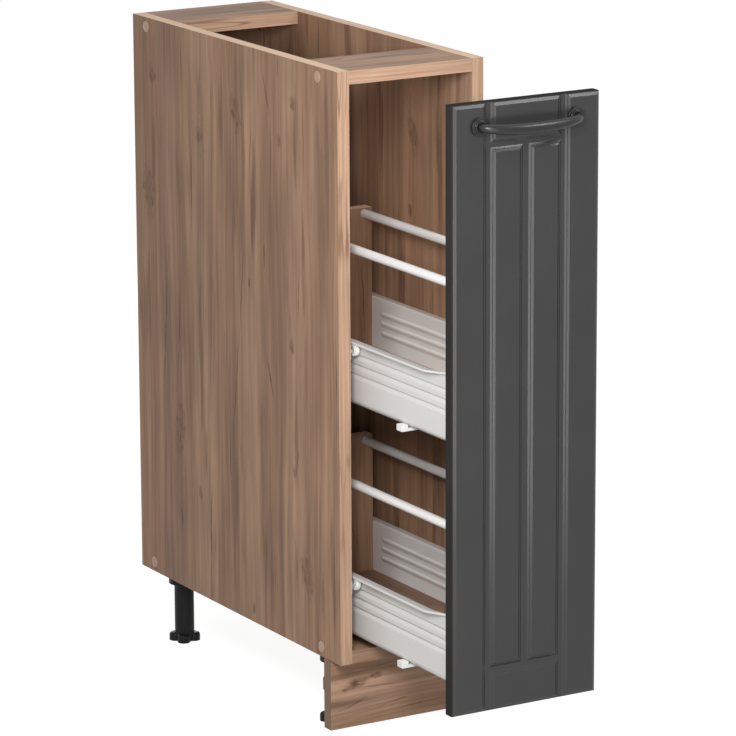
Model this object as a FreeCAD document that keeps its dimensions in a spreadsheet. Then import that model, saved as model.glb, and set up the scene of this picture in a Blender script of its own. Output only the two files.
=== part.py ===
import FreeCAD
import Part
import Sketcher
import math
import os

# Pull-out pantry cabinet: a narrow base unit whose tall front carries two metal-sided drawers.
# It is drawn partly open. X points right, Y to the back wall, Z up, and the floor is at Z = 0.

doc = FreeCAD.newDocument("PulloutPantryCabinet")
sizes = doc.addObject("Spreadsheet::Sheet", "Sizes")
places = doc.addObject("Spreadsheet::Sheet", "Places")

# Driving dimensions in millimetres: name, value, meaning.
SIZES = (
    ("carcass_width", 200, "outside width of the carcass"),
    ("carcass_depth", 510, "depth of the side panels"),
    ("carcass_height", 720, "height of the side panels"),
    ("board", 16, "thickness of the carcass boards"),
    ("rail_width", 95, "width of each top rail, front to back"),
    ("back_thickness", 3, "thickness of the back panel"),
    ("back_inset", 2, "back panel set in from the carcass outline"),
    ("leg_height", 90, "underside of the carcass above the floor"),
    ("fixing_clearance", 0.1, "radial room of a fastener in its hole"),
    ("confirmat_edge", 12, "carcass screw from the top or bottom edge"),
    ("confirmat_front", 46, "front carcass screw from the front edge"),
    ("confirmat_back", 35, "rear carcass screw from the rear edge"),
    ("confirmat_head_radius", 5, "carcass screw head radius"),
    ("confirmat_head_length", 3.5, "carcass screw head length"),
    ("confirmat_radius", 2.9, "carcass screw shank radius"),
    ("confirmat_length", 45, "carcass screw shank length"),
    ("cap_radius", 7, "cover cap radius"),
    ("cap_height", 1.4, "cover cap standing proud of the panel"),
    ("cap_plug", 1, "cover cap plug length in the screw hole"),
    ("nail_radius", 0.8, "back panel nail shank radius"),
    ("nail_length", 15, "back panel nail shank length"),
    ("nail_head_radius", 2.2, "back panel nail head radius"),
    ("nail_head_height", 0.6, "back panel nail head height"),
    ("nail_margin", 40, "first and last nail from the carcass ends"),
    ("leg_offset", 71, "leg axis from the middle of the cabinet"),
    ("leg_front", 61.7, "front leg axis from the carcass front"),
    ("leg_back", 59.5, "rear leg axis from the carcass rear"),
    ("leg_flange_radius", 19.4, "leg flange radius"),
    ("leg_flange_height", 13, "leg flange thickness"),
    ("leg_collar_radius", 16.5, "leg collar radius under the flange"),
    ("leg_collar_height", 4, "leg collar height"),
    ("leg_shaft_radius", 12.5, "leg shaft radius"),
    ("leg_spigot_radius", 5, "leg spigot radius"),
    ("leg_spigot_length", 11, "leg spigot length in the bottom panel"),
    ("foot_height", 11, "foot height below the leg shaft"),
    ("foot_hub_radius", 12.5, "foot hub radius"),
    ("lobe_radius", 8, "foot lobe radius"),
    ("lobe_offset", 11.8, "foot lobe from the leg axis"),
    ("lobe_height", 10.5, "foot lobe height"),
    ("lobe_round", 3.4, "rounding of the lobe edges"),
    ("lobe_turn", 33, "turn of the feet in degrees"),
    ("stem_radius", 7, "foot stem radius"),
    ("stem_length", 34, "foot stem length in the leg"),
    ("stem_clearance", 0.08, "radial room of the stem in the leg"),
    ("stem_spare", 2, "free bore above the stem"),
    ("plinth_thickness", 16, "plinth board thickness"),
    ("plinth_gap", 1.5, "plinth board below the carcass"),
    ("plinth_lift", 2, "plinth board above the floor"),
    ("plinth_setback", 24, "plinth face behind the carcass front"),
    ("clip_drop", 50, "plinth clip underside below the carcass"),
    ("clip_height", 14, "plinth clip ring height"),
    ("clip_wall", 3, "plinth clip wall"),
    ("clip_mouth", 17, "open mouth of the plinth clip ring"),
    ("clip_plate_width", 34, "plinth clip plate width"),
    ("clip_screw_spread", 24, "distance between the two screws of a clip"),
    ("clip_screw_bite", 10, "plinth clip screw length in the plinth"),
    ("screw_radius", 1.7, "small wood screw shank radius"),
    ("screw_head_radius", 3, "small wood screw head radius"),
    ("screw_head_height", 1.1, "small wood screw head height"),
    ("screw_bite", 12, "small wood screw length in a board"),
    ("front_width", 196, "front panel width"),
    ("front_height", 713, "front panel height"),
    ("front_thickness", 16, "front panel thickness"),
    ("front_lift", 5.4, "front panel bottom above the carcass bottom"),
    ("closed_gap", 1.7, "gap between front panel and carcass when closed"),
    ("open_travel", 235, "travel from closed to the drawn position"),
    ("spare_travel", 119, "travel left from the drawn position"),
    ("relief_depth", 3, "depth of the milled pattern"),
    ("edge_bevel", 4.6, "bevel along the outer edges of the front"),
    ("edge_foot", 1, "steep foot of that bevel, across"),
    ("stile_width", 45.5, "width of each outer stile at its foot"),
    ("crossrail_height", 46.5, "height of the top and bottom cross rails"),
    ("groove_width", 5.5, "flat of the groove beside stiles and rails"),
    ("plank_gap", 8, "flat of the groove between the two planks"),
    ("step_bevel", 2.1, "first slope of a stepped bevel, across"),
    ("step_ledge", 1, "ledge of a stepped bevel"),
    ("step_height", 1.4, "height of the first slope"),
    ("face_bevel", 2.4, "second slope of a stepped bevel, across"),
    ("handle_spacing", 128, "distance between the handle posts"),
    ("handle_drop", 26.4, "handle axis below the top of the front"),
    ("handle_projection", 30, "handle reach in front of the panel"),
    ("handle_droop", 3, "sag of the bow at its middle"),
    ("bow_end_radius", 5, "radius of the bow at its posts"),
    ("bow_mid_height", 6.6, "half height of the bow at its middle"),
    ("bow_mid_thickness", 5, "half thickness of the bow at its middle"),
    ("bow_squareness", 2.1, "exponent of the bow's rounded outline"),
    ("rosette_radius", 10.8, "handle rosette radius"),
    ("rosette_height", 4, "handle rosette thickness"),
    ("boss_radius", 7.6, "rosette boss radius"),
    ("boss_height", 6.5, "rosette boss height"),
    ("handle_screw_radius", 2, "handle screw radius"),
    ("handle_screw_bite", 9, "handle screw length in the post"),
    ("handle_screw_head_radius", 4.2, "handle screw head radius"),
    ("handle_screw_head_height", 2.4, "handle screw head height"),
    ("drawer_pitch", 288, "upper drawer above the lower one"),
    ("side_lift", 26, "lower drawer side above the carcass bottom"),
    ("side_height", 81.3, "height of a drawer side"),
    ("sheet", 1.2, "sheet thickness of the drawer sides"),
    ("runner_space", 14.3, "room for the runner beside the drawer side"),
    ("drawer_length", 444.5, "inside length of a drawer"),
    ("drawer_board", 16, "thickness of drawer base and rear board"),
    ("rear_board_height", 191.3, "height of the rear board"),
    ("lip_clearance", 4.6, "drawer lip to the carcass wall"),
    ("rim_drop", 2.4, "height of the lip's turned-down rim"),
    ("lip_rise", 5, "rise of the lip at the front"),
    ("lip_kink_rise", 2.8, "rise of the lip where it has turned narrow"),
    ("lip_taper", 8.2, "narrowing of the lip at the front"),
    ("rise_length", 78, "length of the rising front part of the lip"),
    ("narrow_length", 45, "length of the lip's narrow front part"),
    ("bend_radius", 8, "bend at the foot of a drawer side"),
    ("floor_flange", 18, "flange under the base, from the outer face"),
    ("front_flange", 18, "flange at the front panel, from the inner face"),
    ("flange_margin", 14, "top of the front flange below the side's top"),
    ("flange_gap", 1, "front flange above the drawer's floor"),
    ("hem_width", 4.3, "width of the folded front hem"),
    ("hem_height", 0.7, "hem standing proud of the drawer side"),
    ("rib_first", 18.4, "first pressed groove below the lip"),
    ("rib_pitch", 12.2, "distance between the pressed grooves"),
    ("rib_width", 7, "width of a pressed groove"),
    ("rib_depth", 1.4, "depth of a pressed groove"),
    ("rib_start", 21, "grooves begin in front of the rear board"),
    ("rib_run_out", 5, "length over which a groove runs out"),
    ("side_screw_low", 18, "lower rear board screw above the side's foot"),
    ("side_screw_high", 42, "upper rear board screw above the side's foot"),
    ("rod_radius", 5.5, "gallery rod radius"),
    ("rod_wall", 1, "gallery rod wall"),
    ("rod_plug", 20, "solid end of the gallery rod"),
    ("rod_inset", 10.2, "rod axis from the inner face of the side"),
    ("rod_drop", 7, "rod axis below the top of the rear board"),
    ("rod_screw_radius", 2.4, "rod screw radius"),
    ("rod_screw_bite", 12, "rod screw length in the rod"),
    ("rod_screw_head_radius", 5, "rod screw head radius"),
    ("rod_screw_head_height", 2.5, "rod screw head height"),
    ("socket_radius", 8, "rod socket radius"),
    ("socket_length", 12, "rod socket length"),
    ("socket_depth", 8, "depth of the rod in its socket"),
    ("base_clip_back", 130, "base clip behind the front panel"),
    ("base_clip_reach", 8.3, "base clip standing out past the side"),
    ("base_clip_width", 28, "base clip across the drawer"),
    ("base_clip_length", 12, "base clip along the drawer"),
    ("base_clip_height", 7.8, "height of the base clip's tall outer end"),
    ("base_clip_drop", 4.2, "base clip below the foot of the drawer side"),
    ("base_clip_head", 9, "width of the base clip's tall outer end"),
    ("base_clip_tongue", 3.4, "thickness of the base clip's tongue under the drawer"),
    ("base_clip_boss", 4.2, "radius of the boss round the base clip's screw"),
    ("base_clip_screw", 13, "base clip screw from the outer face of the side"),
    ("base_clip_bite", 9, "base clip screw length in the base panel"),
    ("runner_sheet", 1.2, "sheet thickness of the runners"),
    ("runner_clearance", 0.8, "lip rim above the runner"),
    ("runner_edge", 2.8, "runner flange edge from the drawer side"),
    ("runner_front", 1, "runner behind the carcass front"),
    ("runner_mouth", 20, "runner flanges behind the carcass front"),
    ("stop_clearance", 0.5, "roller to the end stop at full travel"),
    ("roller_clearance", 0.3, "room of the rollers above and below"),
    ("cabinet_roller_radius", 8.2, "cabinet roller radius"),
    ("cabinet_roller_width", 5, "cabinet roller width"),
    ("cabinet_roller_front", 7, "cabinet roller axis behind the carcass front"),
    ("cabinet_roller_gap", 2.6, "cabinet roller from the drawer side"),
    ("drawer_roller_radius", 7, "drawer roller radius"),
    ("drawer_roller_width", 5.5, "drawer roller width"),
    ("drawer_roller_back", 14, "drawer roller axis from the drawer's end"),
    ("drawer_roller_gap", 3.6, "drawer roller from the drawer side"),
    ("roller_edge", 0.6, "bevel of the roller edges"),
    ("pin_radius", 2.5, "roller pin radius"),
    ("pin_clearance", 0.05, "radial room of a roller on its pin"),
    ("pin_collar_radius", 4.5, "roller pin collar radius"),
    ("pin_head_radius", 4, "roller pin head radius"),
    ("pin_head", 1, "roller pin head thickness"),
    ("pin_play", 0.3, "side play of a roller on its pin"),
)

# Places worked out from the driving dimensions: name, formula, meaning.
PLACES = (
    ("half_width", "=Sizes.carcass_width / 2", "outer face of a side panel"),
    ("inner_half", "=half_width - Sizes.board", "inner face of a side panel"),
    ("carcass_bottom", "=Sizes.leg_height", "underside of the carcass"),
    ("carcass_top", "=carcass_bottom + Sizes.carcass_height", "top of the carcass"),
    ("front_reach", "=Sizes.closed_gap + Sizes.open_travel + Sizes.front_thickness + Sizes.handle_projection",
     "handle in front of the carcass front"),
    ("rear_reach", "=Sizes.carcass_depth + Sizes.back_thickness + Sizes.nail_head_height",
     "nail heads behind the carcass front"),
    ("carcass_front", "=(front_reach - rear_reach) / 2", "front plane of the carcass"),
    ("carcass_rear", "=carcass_front + Sizes.carcass_depth", "rear plane of the side panels"),
    ("back_face", "=carcass_rear + Sizes.back_thickness", "rear face of the back panel"),
    ("leg_front_y", "=carcass_front + Sizes.leg_front", "front leg axes"),
    ("leg_rear_y", "=carcass_rear - Sizes.leg_back", "rear leg axes"),
    ("spigot_top", "=carcass_bottom + Sizes.leg_spigot_length", "top of a leg's spigot"),
    ("flange_under", "=carcass_bottom - Sizes.leg_flange_height", "underside of the leg flange"),
    ("collar_under", "=flange_under - Sizes.leg_collar_height", "underside of the leg collar"),
    ("stem_bore", "=Sizes.stem_radius + Sizes.stem_clearance", "bore radius of a leg"),
    ("stem_bore_top", "=Sizes.foot_height + Sizes.stem_length + Sizes.stem_spare", "top of a leg's bore"),
    ("plinth_face", "=carcass_front + Sizes.plinth_setback", "front face of the plinth"),
    ("plinth_rear", "=plinth_face + Sizes.plinth_thickness", "rear face of the plinth"),
    ("plinth_height", "=carcass_bottom - Sizes.plinth_gap - Sizes.plinth_lift", "plinth board height"),
    ("clip_low", "=carcass_bottom - Sizes.clip_drop", "underside of the plinth clips"),
    ("panel_rear", "=carcass_front - Sizes.closed_gap - Sizes.open_travel", "rear face of the front panel"),
    ("panel_face", "=panel_rear - Sizes.front_thickness", "front face of the front panel"),
    ("slab_face", "=panel_face + Sizes.relief_depth", "ground of the milled pattern"),
    ("step_face", "=slab_face - Sizes.step_height", "ledge of the milled pattern"),
    ("panel_bottom", "=carcass_bottom + Sizes.front_lift", "bottom of the front panel"),
    ("panel_top", "=panel_bottom + Sizes.front_height", "top of the front panel"),
    ("handle_z", "=panel_top - Sizes.handle_drop", "handle axis"),
    ("side_outer", "=inner_half - Sizes.runner_space", "outer face of a drawer side"),
    ("side_inner", "=side_outer - Sizes.sheet", "inner face of a drawer side"),
    ("lip_edge", "=inner_half - Sizes.lip_clearance", "edge of the drawer lip"),
    ("rear_board_face", "=panel_rear + Sizes.drawer_length", "front face of the rear boards"),
    ("drawer_end", "=rear_board_face + Sizes.drawer_board", "rear end of the drawers"),
    ("rod_x", "=side_inner - Sizes.rod_inset", "gallery rod axes"),
    ("lower_foot", "=carcass_bottom + Sizes.side_lift", "underside of the lower drawer sides"),
    ("upper_foot", "=lower_foot + Sizes.drawer_pitch", "underside of the upper drawer sides"),
    ("flange_low", "=Sizes.sheet + Sizes.drawer_board + Sizes.flange_gap", "front flange above the foot"),
    ("flange_high", "=Sizes.side_height - Sizes.flange_margin", "top of the front flange above the foot"),
    ("runner_height", "=2 * (Sizes.drawer_roller_radius + Sizes.roller_clearance + Sizes.runner_sheet)",
     "outside height of a runner"),
    ("runner_top_rise", "=Sizes.side_height - Sizes.rim_drop - Sizes.runner_clearance",
     "runner top above the drawer side's foot"),
    ("runner_rise", "=runner_top_rise - runner_height", "runner underside above the drawer side's foot"),
    ("drawer_roller_rise", "=runner_rise + runner_height / 2", "drawer roller axis above the foot"),
    ("drawer_roller_y", "=drawer_end - Sizes.drawer_roller_back", "drawer roller axes, front to back"),
    ("cabinet_roller_rise",
     "=Sizes.side_height - Sizes.sheet - Sizes.roller_clearance - Sizes.cabinet_roller_radius",
     "cabinet roller axis above the foot"),
    ("cabinet_roller_y", "=carcass_front + Sizes.cabinet_roller_front", "cabinet roller axes, front to back"),
    ("runner_start", "=carcass_front + Sizes.runner_front", "front end of a runner"),
    ("runner_mouth_y", "=carcass_front + Sizes.runner_mouth", "front end of the runner flanges"),
    ("stop_reach", "=Sizes.drawer_roller_radius + Sizes.stop_clearance",
     "stop faces from the drawer roller axis at full travel"),
    ("front_stop_y", "=drawer_roller_y - Sizes.spare_travel - stop_reach",
     "face of the front stop in a runner"),
    ("rear_stop_y", "=drawer_roller_y + Sizes.open_travel + stop_reach",
     "face of the rear stop in a runner"),
    ("runner_lip", "=side_outer + Sizes.runner_edge", "edge of the runner flanges"),
    ("web_face", "=inner_half - Sizes.runner_sheet", "inner face of a runner's web"),
)

SIGNS = (("left", -1), ("right", 1))
LEVELS = ("lower", "upper")

# Directions of a turned piece, as rotations of its own Z axis.
TURNS = {
    "+X": FreeCAD.Rotation(FreeCAD.Vector(0, 1, 0), 90),
    "-X": FreeCAD.Rotation(FreeCAD.Vector(0, 1, 0), -90),
    "+Y": FreeCAD.Rotation(FreeCAD.Vector(1, 0, 0), -90),
    "-Y": FreeCAD.Rotation(FreeCAD.Vector(1, 0, 0), 90),
    "+Z": FreeCAD.Rotation(),
    "-Z": FreeCAD.Rotation(FreeCAD.Vector(1, 0, 0), 180),
}

subparts = []


def fill(sheet, rows):
    """Writes named cells, each with its meaning beside it."""
    for row, (alias, content, meaning) in enumerate(rows, start=1):
        sheet.set(f"A{row}", meaning)
        sheet.set(f"B{row}", str(content))
        sheet.setAlias(f"B{row}", alias)
    doc.recompute()


fill(sizes, SIZES)
fill(places, PLACES)


def size(alias):
    """The number in a driving cell."""
    return float(sizes.get(alias))


def place(alias):
    """The number in a worked-out cell."""
    return float(places.get(alias))


def keep(piece, node):
    """Names a finished sub-part and puts it on the list that is written out."""
    piece.Label = node
    subparts.append(piece)
    return piece


def put(piece, start, direction="+Z"):
    """Sets where a piece stands, with its place bound to the sheet."""
    piece.Placement = FreeCAD.Placement(FreeCAD.Vector(), TURNS[direction])
    for axis, expression in zip("xyz", start):
        piece.setExpression("Placement.Base." + axis, str(expression))
    return piece


def box(name, corner, extent):
    """A board or plate from its lowest corner and its three sizes."""
    piece = doc.addObject("Part::Box", name)
    for edge, expression in zip(("Length", "Width", "Height"), extent):
        piece.setExpression(edge, expression)
    return put(piece, corner)


def cylinder(name, start, direction, radius, length):
    """A round piece that starts at a point and runs in a direction."""
    piece = doc.addObject("Part::Cylinder", name)
    piece.setExpression("Radius", radius)
    piece.setExpression("Height", length)
    return put(piece, start, direction)


def fuse(name, pieces):
    """Several solids joined into one."""
    joined = doc.addObject("Part::MultiFuse", name)
    joined.Shapes = pieces
    joined.Refine = True
    return joined


def group(name, pieces):
    """Separate solids kept together in one node."""
    together = doc.addObject("Part::Compound", name)
    together.Links = pieces
    return together


def cut(name, base, tools):
    """A solid with holes or notches."""
    piece = doc.addObject("Part::Cut", name)
    piece.Base = base
    piece.Tool = tools[0] if len(tools) == 1 else group(name + "_tools", tools)
    return piece


def mirror(name, source):
    """The right-hand copy of a left-hand piece."""
    piece = doc.addObject("Part::Mirroring", name)
    piece.Source = source
    piece.Normal = FreeCAD.Vector(1, 0, 0)
    return piece


def solid(name, shape):
    """A freely shaped piece."""
    piece = doc.addObject("Part::Feature", name)
    piece.Shape = shape
    piece.Placement = FreeCAD.Placement()
    return piece


def origin_feature(body, role):
    """One of a body's own planes or axes."""
    return next(item for item in body.Origin.OriginFeatures if item.Role == role)


def turned(name, outline, start, direction="+Z"):
    """A body turned about its own Z axis; the outline pairs radius and height cells."""
    body = doc.addObject("PartDesign::Body", name)
    sketch = body.newObject("Sketcher::SketchObject", name + "_outline")
    sketch.AttachmentSupport = [(origin_feature(body, "XZ_Plane"), "")]
    sketch.MapMode = "FlatFace"
    corners = []
    for pair in outline:
        numbers = [cell_number(cell) for cell in pair]
        corners.append(FreeCAD.Vector(numbers[0], numbers[1], 0))
    count = len(corners)
    for index in range(count):
        sketch.addGeometry(Part.LineSegment(corners[index], corners[(index + 1) % count]))
    for index in range(count):
        sketch.addConstraint(Sketcher.Constraint("Coincident", index, 2, (index + 1) % count, 1))
    for index, pair in enumerate(outline):
        for kind, axis, cell in (("DistanceX", -2, pair[0]), ("DistanceY", -1, pair[1])):
            if cell == "0":
                sketch.addConstraint(Sketcher.Constraint("PointOnObject", index, 1, axis))
            else:
                rule = Sketcher.Constraint(kind, -1, 1, index, 1, cell_number(cell))
                number = sketch.addConstraint(rule)
                sketch.setExpression(f"Constraints[{number}]", cell)
    revolution = body.newObject("PartDesign::Revolution", name + "_turn")
    revolution.Profile = sketch
    revolution.ReferenceAxis = (sketch, ["V_Axis"])
    revolution.Angle = 360
    return put(body, start, direction)


def cell_number(cell):
    """The number behind a cell name such as Sizes.board, or behind 0."""
    if cell == "0":
        return 0.0
    sheet_name, alias = cell.split(".")
    return size(alias) if sheet_name == "Sizes" else place(alias)


def screw(name, seat, direction, head_radius, head_height, radius, length):
    """A screw, pin or nail whose head lies on a seat; the shank runs in the direction."""
    opposite = direction.translate(str.maketrans("+-", "-+"))
    head = cylinder(name + "_head", seat, opposite, head_radius, head_height)
    shank = cylinder(name + "_shank", seat, direction, radius, length)
    return fuse(name, [head, shank])


def wood_screw(name, seat, direction, length):
    """The small screw used for runners, clips and drawer boards."""
    return screw(name, seat, direction, "Sizes.screw_head_radius", "Sizes.screw_head_height",
                 "Sizes.screw_radius", length)


def screw_hole(name, start, direction, length, radius="Sizes.screw_radius"):
    """A hole for a fastener, wider than its shank by the fixing clearance."""
    return cylinder(name, start, direction, f"{radius} + Sizes.fixing_clearance", length)


def sideways(sign):
    """The direction from an outer side of the cabinet to its middle."""
    return "+X" if sign < 0 else "-X"


# Carcass screws and their cover caps
def confirmat_spots():
    """Every carcass screw: side, place along the depth and height."""
    for side, sign in SIGNS:
        for depth, along in (("front", "Places.carcass_front + Sizes.confirmat_front"),
                             ("rear", "Places.carcass_rear - Sizes.confirmat_back")):
            for level, height in (("low", "Places.carcass_bottom + Sizes.confirmat_edge"),
                                  ("high", "Places.carcass_top - Sizes.confirmat_edge")):
                yield f"{side}_{depth}_{level}", sign, along, height


CONFIRMAT_SEAT = "(Sizes.cap_plug + Sizes.confirmat_head_length)"


def carcass_screws():
    """Eight screws through the side panels, each under a cap that plugs its hole."""
    screws = []
    caps = []
    for spot, sign, along, height in confirmat_spots():
        inward = sideways(sign)
        seat = (f"{sign} * (Places.half_width - {CONFIRMAT_SEAT})", along, height)
        screws.append(screw("confirmat_" + spot, seat, inward, "Sizes.confirmat_head_radius",
                            "Sizes.confirmat_head_length", "Sizes.confirmat_radius",
                            "Sizes.confirmat_length"))
        face = (f"{sign} * Places.half_width", along, height)
        caps.append(screw("cap_" + spot, face, inward, "Sizes.cap_radius", "Sizes.cap_height",
                          "Sizes.confirmat_head_radius", "Sizes.cap_plug"))
    keep(group("confirmat_screws", screws), "confirmat_screws")
    keep(group("cover_caps", caps), "cover_caps")


def confirmat_side_holes(side_sign):
    """Stepped holes for the carcass screws in one side panel."""
    holes = []
    for spot, sign, along, height in confirmat_spots():
        if sign == side_sign:
            inward = sideways(sign)
            face = (f"{sign} * Places.half_width", along, height)
            holes.append(screw_hole("sink_" + spot, face, inward, CONFIRMAT_SEAT,
                                    "Sizes.confirmat_head_radius"))
            holes.append(screw_hole("bore_" + spot, face, inward, "Sizes.board", "Sizes.confirmat_radius"))
    return holes


def confirmat_end_holes(name, chosen_depths, chosen_level):
    """Holes for the carcass screws in the ends of a board between the sides."""
    holes = []
    bite = f"Sizes.confirmat_length - Sizes.board + {CONFIRMAT_SEAT} + Sizes.fixing_clearance"
    for spot, sign, along, height in confirmat_spots():
        _, depth, level = spot.split("_")
        if depth in chosen_depths and level == chosen_level:
            start = (f"{sign} * Places.inner_half", along, height)
            holes.append(screw_hole(f"{name}_end_{spot}", start, sideways(sign), bite,
                                    "Sizes.confirmat_radius"))
    return holes


# Back panel nails
NAILS_PER_SIDE = 5


def nail_spots():
    """Every nail: its name, which board it enters, and its place across and up."""
    for side, sign in SIGNS:
        for index in range(NAILS_PER_SIDE):
            share = index / (NAILS_PER_SIDE - 1)
            height = (f"Places.carcass_bottom + Sizes.nail_margin"
                      f" + {share} * (Sizes.carcass_height - 2 * Sizes.nail_margin)")
            yield f"nail_{side}_{index}", side, f"{sign} * (Places.half_width - Sizes.board / 2)", height
    yield "nail_bottom", "bottom", "0", "Places.carcass_bottom + Sizes.board / 2"
    yield "nail_top", "top", "0", "Places.carcass_top - Sizes.board / 2"


def nail_holes(board):
    """Holes of the nails that enter one board through its rear edge."""
    depth = "Sizes.nail_length - Sizes.back_thickness + Sizes.fixing_clearance"
    return [screw_hole(f"{name}_in_{board}", (across, "Places.carcass_rear", height), "-Y", depth,
                       "Sizes.nail_radius")
            for name, target, across, height in nail_spots() if target == board]


def back_panel():
    """The thin back, nailed over the rear edges of the carcass."""
    sheet = box("back_sheet",
                ("-(Places.half_width - Sizes.back_inset)", "Places.carcass_rear",
                 "Places.carcass_bottom + Sizes.back_inset"),
                ("Sizes.carcass_width - 2 * Sizes.back_inset", "Sizes.back_thickness",
                 "Sizes.carcass_height - 2 * Sizes.back_inset"))
    holes = []
    nails = []
    for name, _, across, height in nail_spots():
        seat = (across, "Places.back_face", height)
        holes.append(screw_hole(name + "_through", seat, "-Y", "Sizes.back_thickness", "Sizes.nail_radius"))
        nails.append(screw(name, seat, "-Y", "Sizes.nail_head_radius", "Sizes.nail_head_height",
                           "Sizes.nail_radius", "Sizes.nail_length"))
    keep(cut("back_panel", sheet, holes), "back_panel")
    keep(group("back_panel_nails", nails), "back_panel_nails")


# Runner fixing screws, at the same spots in runner and side panel
RUNNER_SCREW_SHARES = (0.22, 0.55, 0.92)


def runner_screw_spots(level):
    """Places of one runner's screws along the depth, and their height."""
    height = f"Places.{level}_foot + Places.drawer_roller_rise"
    for index, share in enumerate(RUNNER_SCREW_SHARES):
        along = f"Places.runner_start + {share} * (Places.rear_stop_y - Places.runner_start)"
        yield f"{level}_{index}", along, height


def side_panels():
    """Left and right side panels with the holes of everything screwed to them."""
    for side, sign in SIGNS:
        corner_x = "-Places.half_width" if sign < 0 else "Places.inner_half"
        board = box(side + "_board", (corner_x, "Places.carcass_front", "Places.carcass_bottom"),
                    ("Sizes.board", "Sizes.carcass_depth", "Sizes.carcass_height"))
        holes = confirmat_side_holes(sign) + nail_holes(side)
        outward = sideways(-sign)
        for level in LEVELS:
            for spot, along, height in runner_screw_spots(level):
                start = (f"{sign} * Places.inner_half", along, height)
                holes.append(screw_hole(f"{side}_runner_hole_{spot}", start, outward,
                                        "Sizes.screw_bite - Sizes.runner_sheet + Sizes.fixing_clearance"))
        keep(cut(side + "_side_panel", board, holes), side + "_side_panel")


def carcass_shelves():
    """Bottom panel and the two flat rails that hold the sides apart at the top."""
    span = "2 * Places.inner_half"
    bottom = box("bottom_board", ("-Places.inner_half", "Places.carcass_front", "Places.carcass_bottom"),
                 (span, "Sizes.carcass_depth", "Sizes.board"))
    holes = confirmat_end_holes("bottom", ("front", "rear"), "low") + nail_holes("bottom")
    for name, _, x, y in leg_spots():
        holes.append(screw_hole(name + "_spigot_hole", (x, y, "Places.carcass_bottom"), "+Z",
                                "Sizes.leg_spigot_length + Sizes.fixing_clearance",
                                "Sizes.leg_spigot_radius"))
    keep(cut("bottom_panel", bottom, holes), "bottom_panel")
    height = "Places.carcass_top - Sizes.board"
    front = box("front_rail_board", ("-Places.inner_half", "Places.carcass_front", height),
                (span, "Sizes.rail_width", "Sizes.board"))
    keep(cut("front_top_rail", front, confirmat_end_holes("front_rail", ("front",), "high")),
         "front_top_rail")
    rear = box("rear_rail_board",
               ("-Places.inner_half", "Places.carcass_rear - Sizes.rail_width", height),
               (span, "Sizes.rail_width", "Sizes.board"))
    rear_holes = confirmat_end_holes("rear_rail", ("rear",), "high") + nail_holes("top")
    keep(cut("rear_top_rail", rear, rear_holes), "rear_top_rail")


# Legs with screw-in feet
def leg_spots():
    """The four legs: name, side and place."""
    for depth, y in (("front", "Places.leg_front_y"), ("rear", "Places.leg_rear_y")):
        for side, sign in SIGNS:
            yield f"{depth}_{side}", sign, f"{sign} * Sizes.leg_offset", y


def legs():
    """Flanged plastic legs with a spigot in the bottom panel, each with a lobed foot on a stem."""
    for name, sign, x, y in leg_spots():
        outline = (
            ("0", "Places.spigot_top"),
            ("Sizes.leg_spigot_radius", "Places.spigot_top"),
            ("Sizes.leg_spigot_radius", "Places.carcass_bottom"),
            ("Sizes.leg_flange_radius", "Places.carcass_bottom"),
            ("Sizes.leg_flange_radius", "Places.flange_under"),
            ("Sizes.leg_collar_radius", "Places.flange_under"),
            ("Sizes.leg_shaft_radius", "Places.collar_under"),
            ("Sizes.leg_shaft_radius", "Sizes.foot_height"),
            ("Places.stem_bore", "Sizes.foot_height"),
            ("Places.stem_bore", "Places.stem_bore_top"),
            ("0", "Places.stem_bore_top"),
        )
        keep(turned(name + "_leg", outline, (x, y, "0")), name + "_leg")
        keep(foot(name, sign, x, y), name + "_foot")


LOBES = 4


def foot(name, sign, x, y):
    """A round hub with rounded lobes on the floor and a stem that screws up into the leg."""
    hub = cylinder(name + "_foot_hub", (x, y, "0"), "+Z", "Sizes.foot_hub_radius", "Sizes.foot_height")
    stem = cylinder(name + "_foot_stem", (x, y, "Sizes.foot_height"), "+Z", "Sizes.stem_radius",
                    "Sizes.stem_length")
    pieces = [hub, stem]
    for index in range(LOBES):
        angle = f"{sign} * Sizes.lobe_turn * 1deg + {index * 360 / LOBES} deg"
        start = (f"{x} + Sizes.lobe_offset * cos({angle})", f"{y} + Sizes.lobe_offset * sin({angle})", "0")
        blank = cylinder(f"{name}_lobe_blank_{index}", start, "+Z", "Sizes.lobe_radius", "Sizes.lobe_height")
        lobe = doc.addObject("Part::Fillet", f"{name}_lobe_{index}")
        lobe.Base = blank
        rounding = size("lobe_round")
        lobe.Edges = [(1, rounding, rounding), (3, rounding, rounding)]
        pieces.append(lobe)
    return fuse(name + "_foot", pieces)


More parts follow.
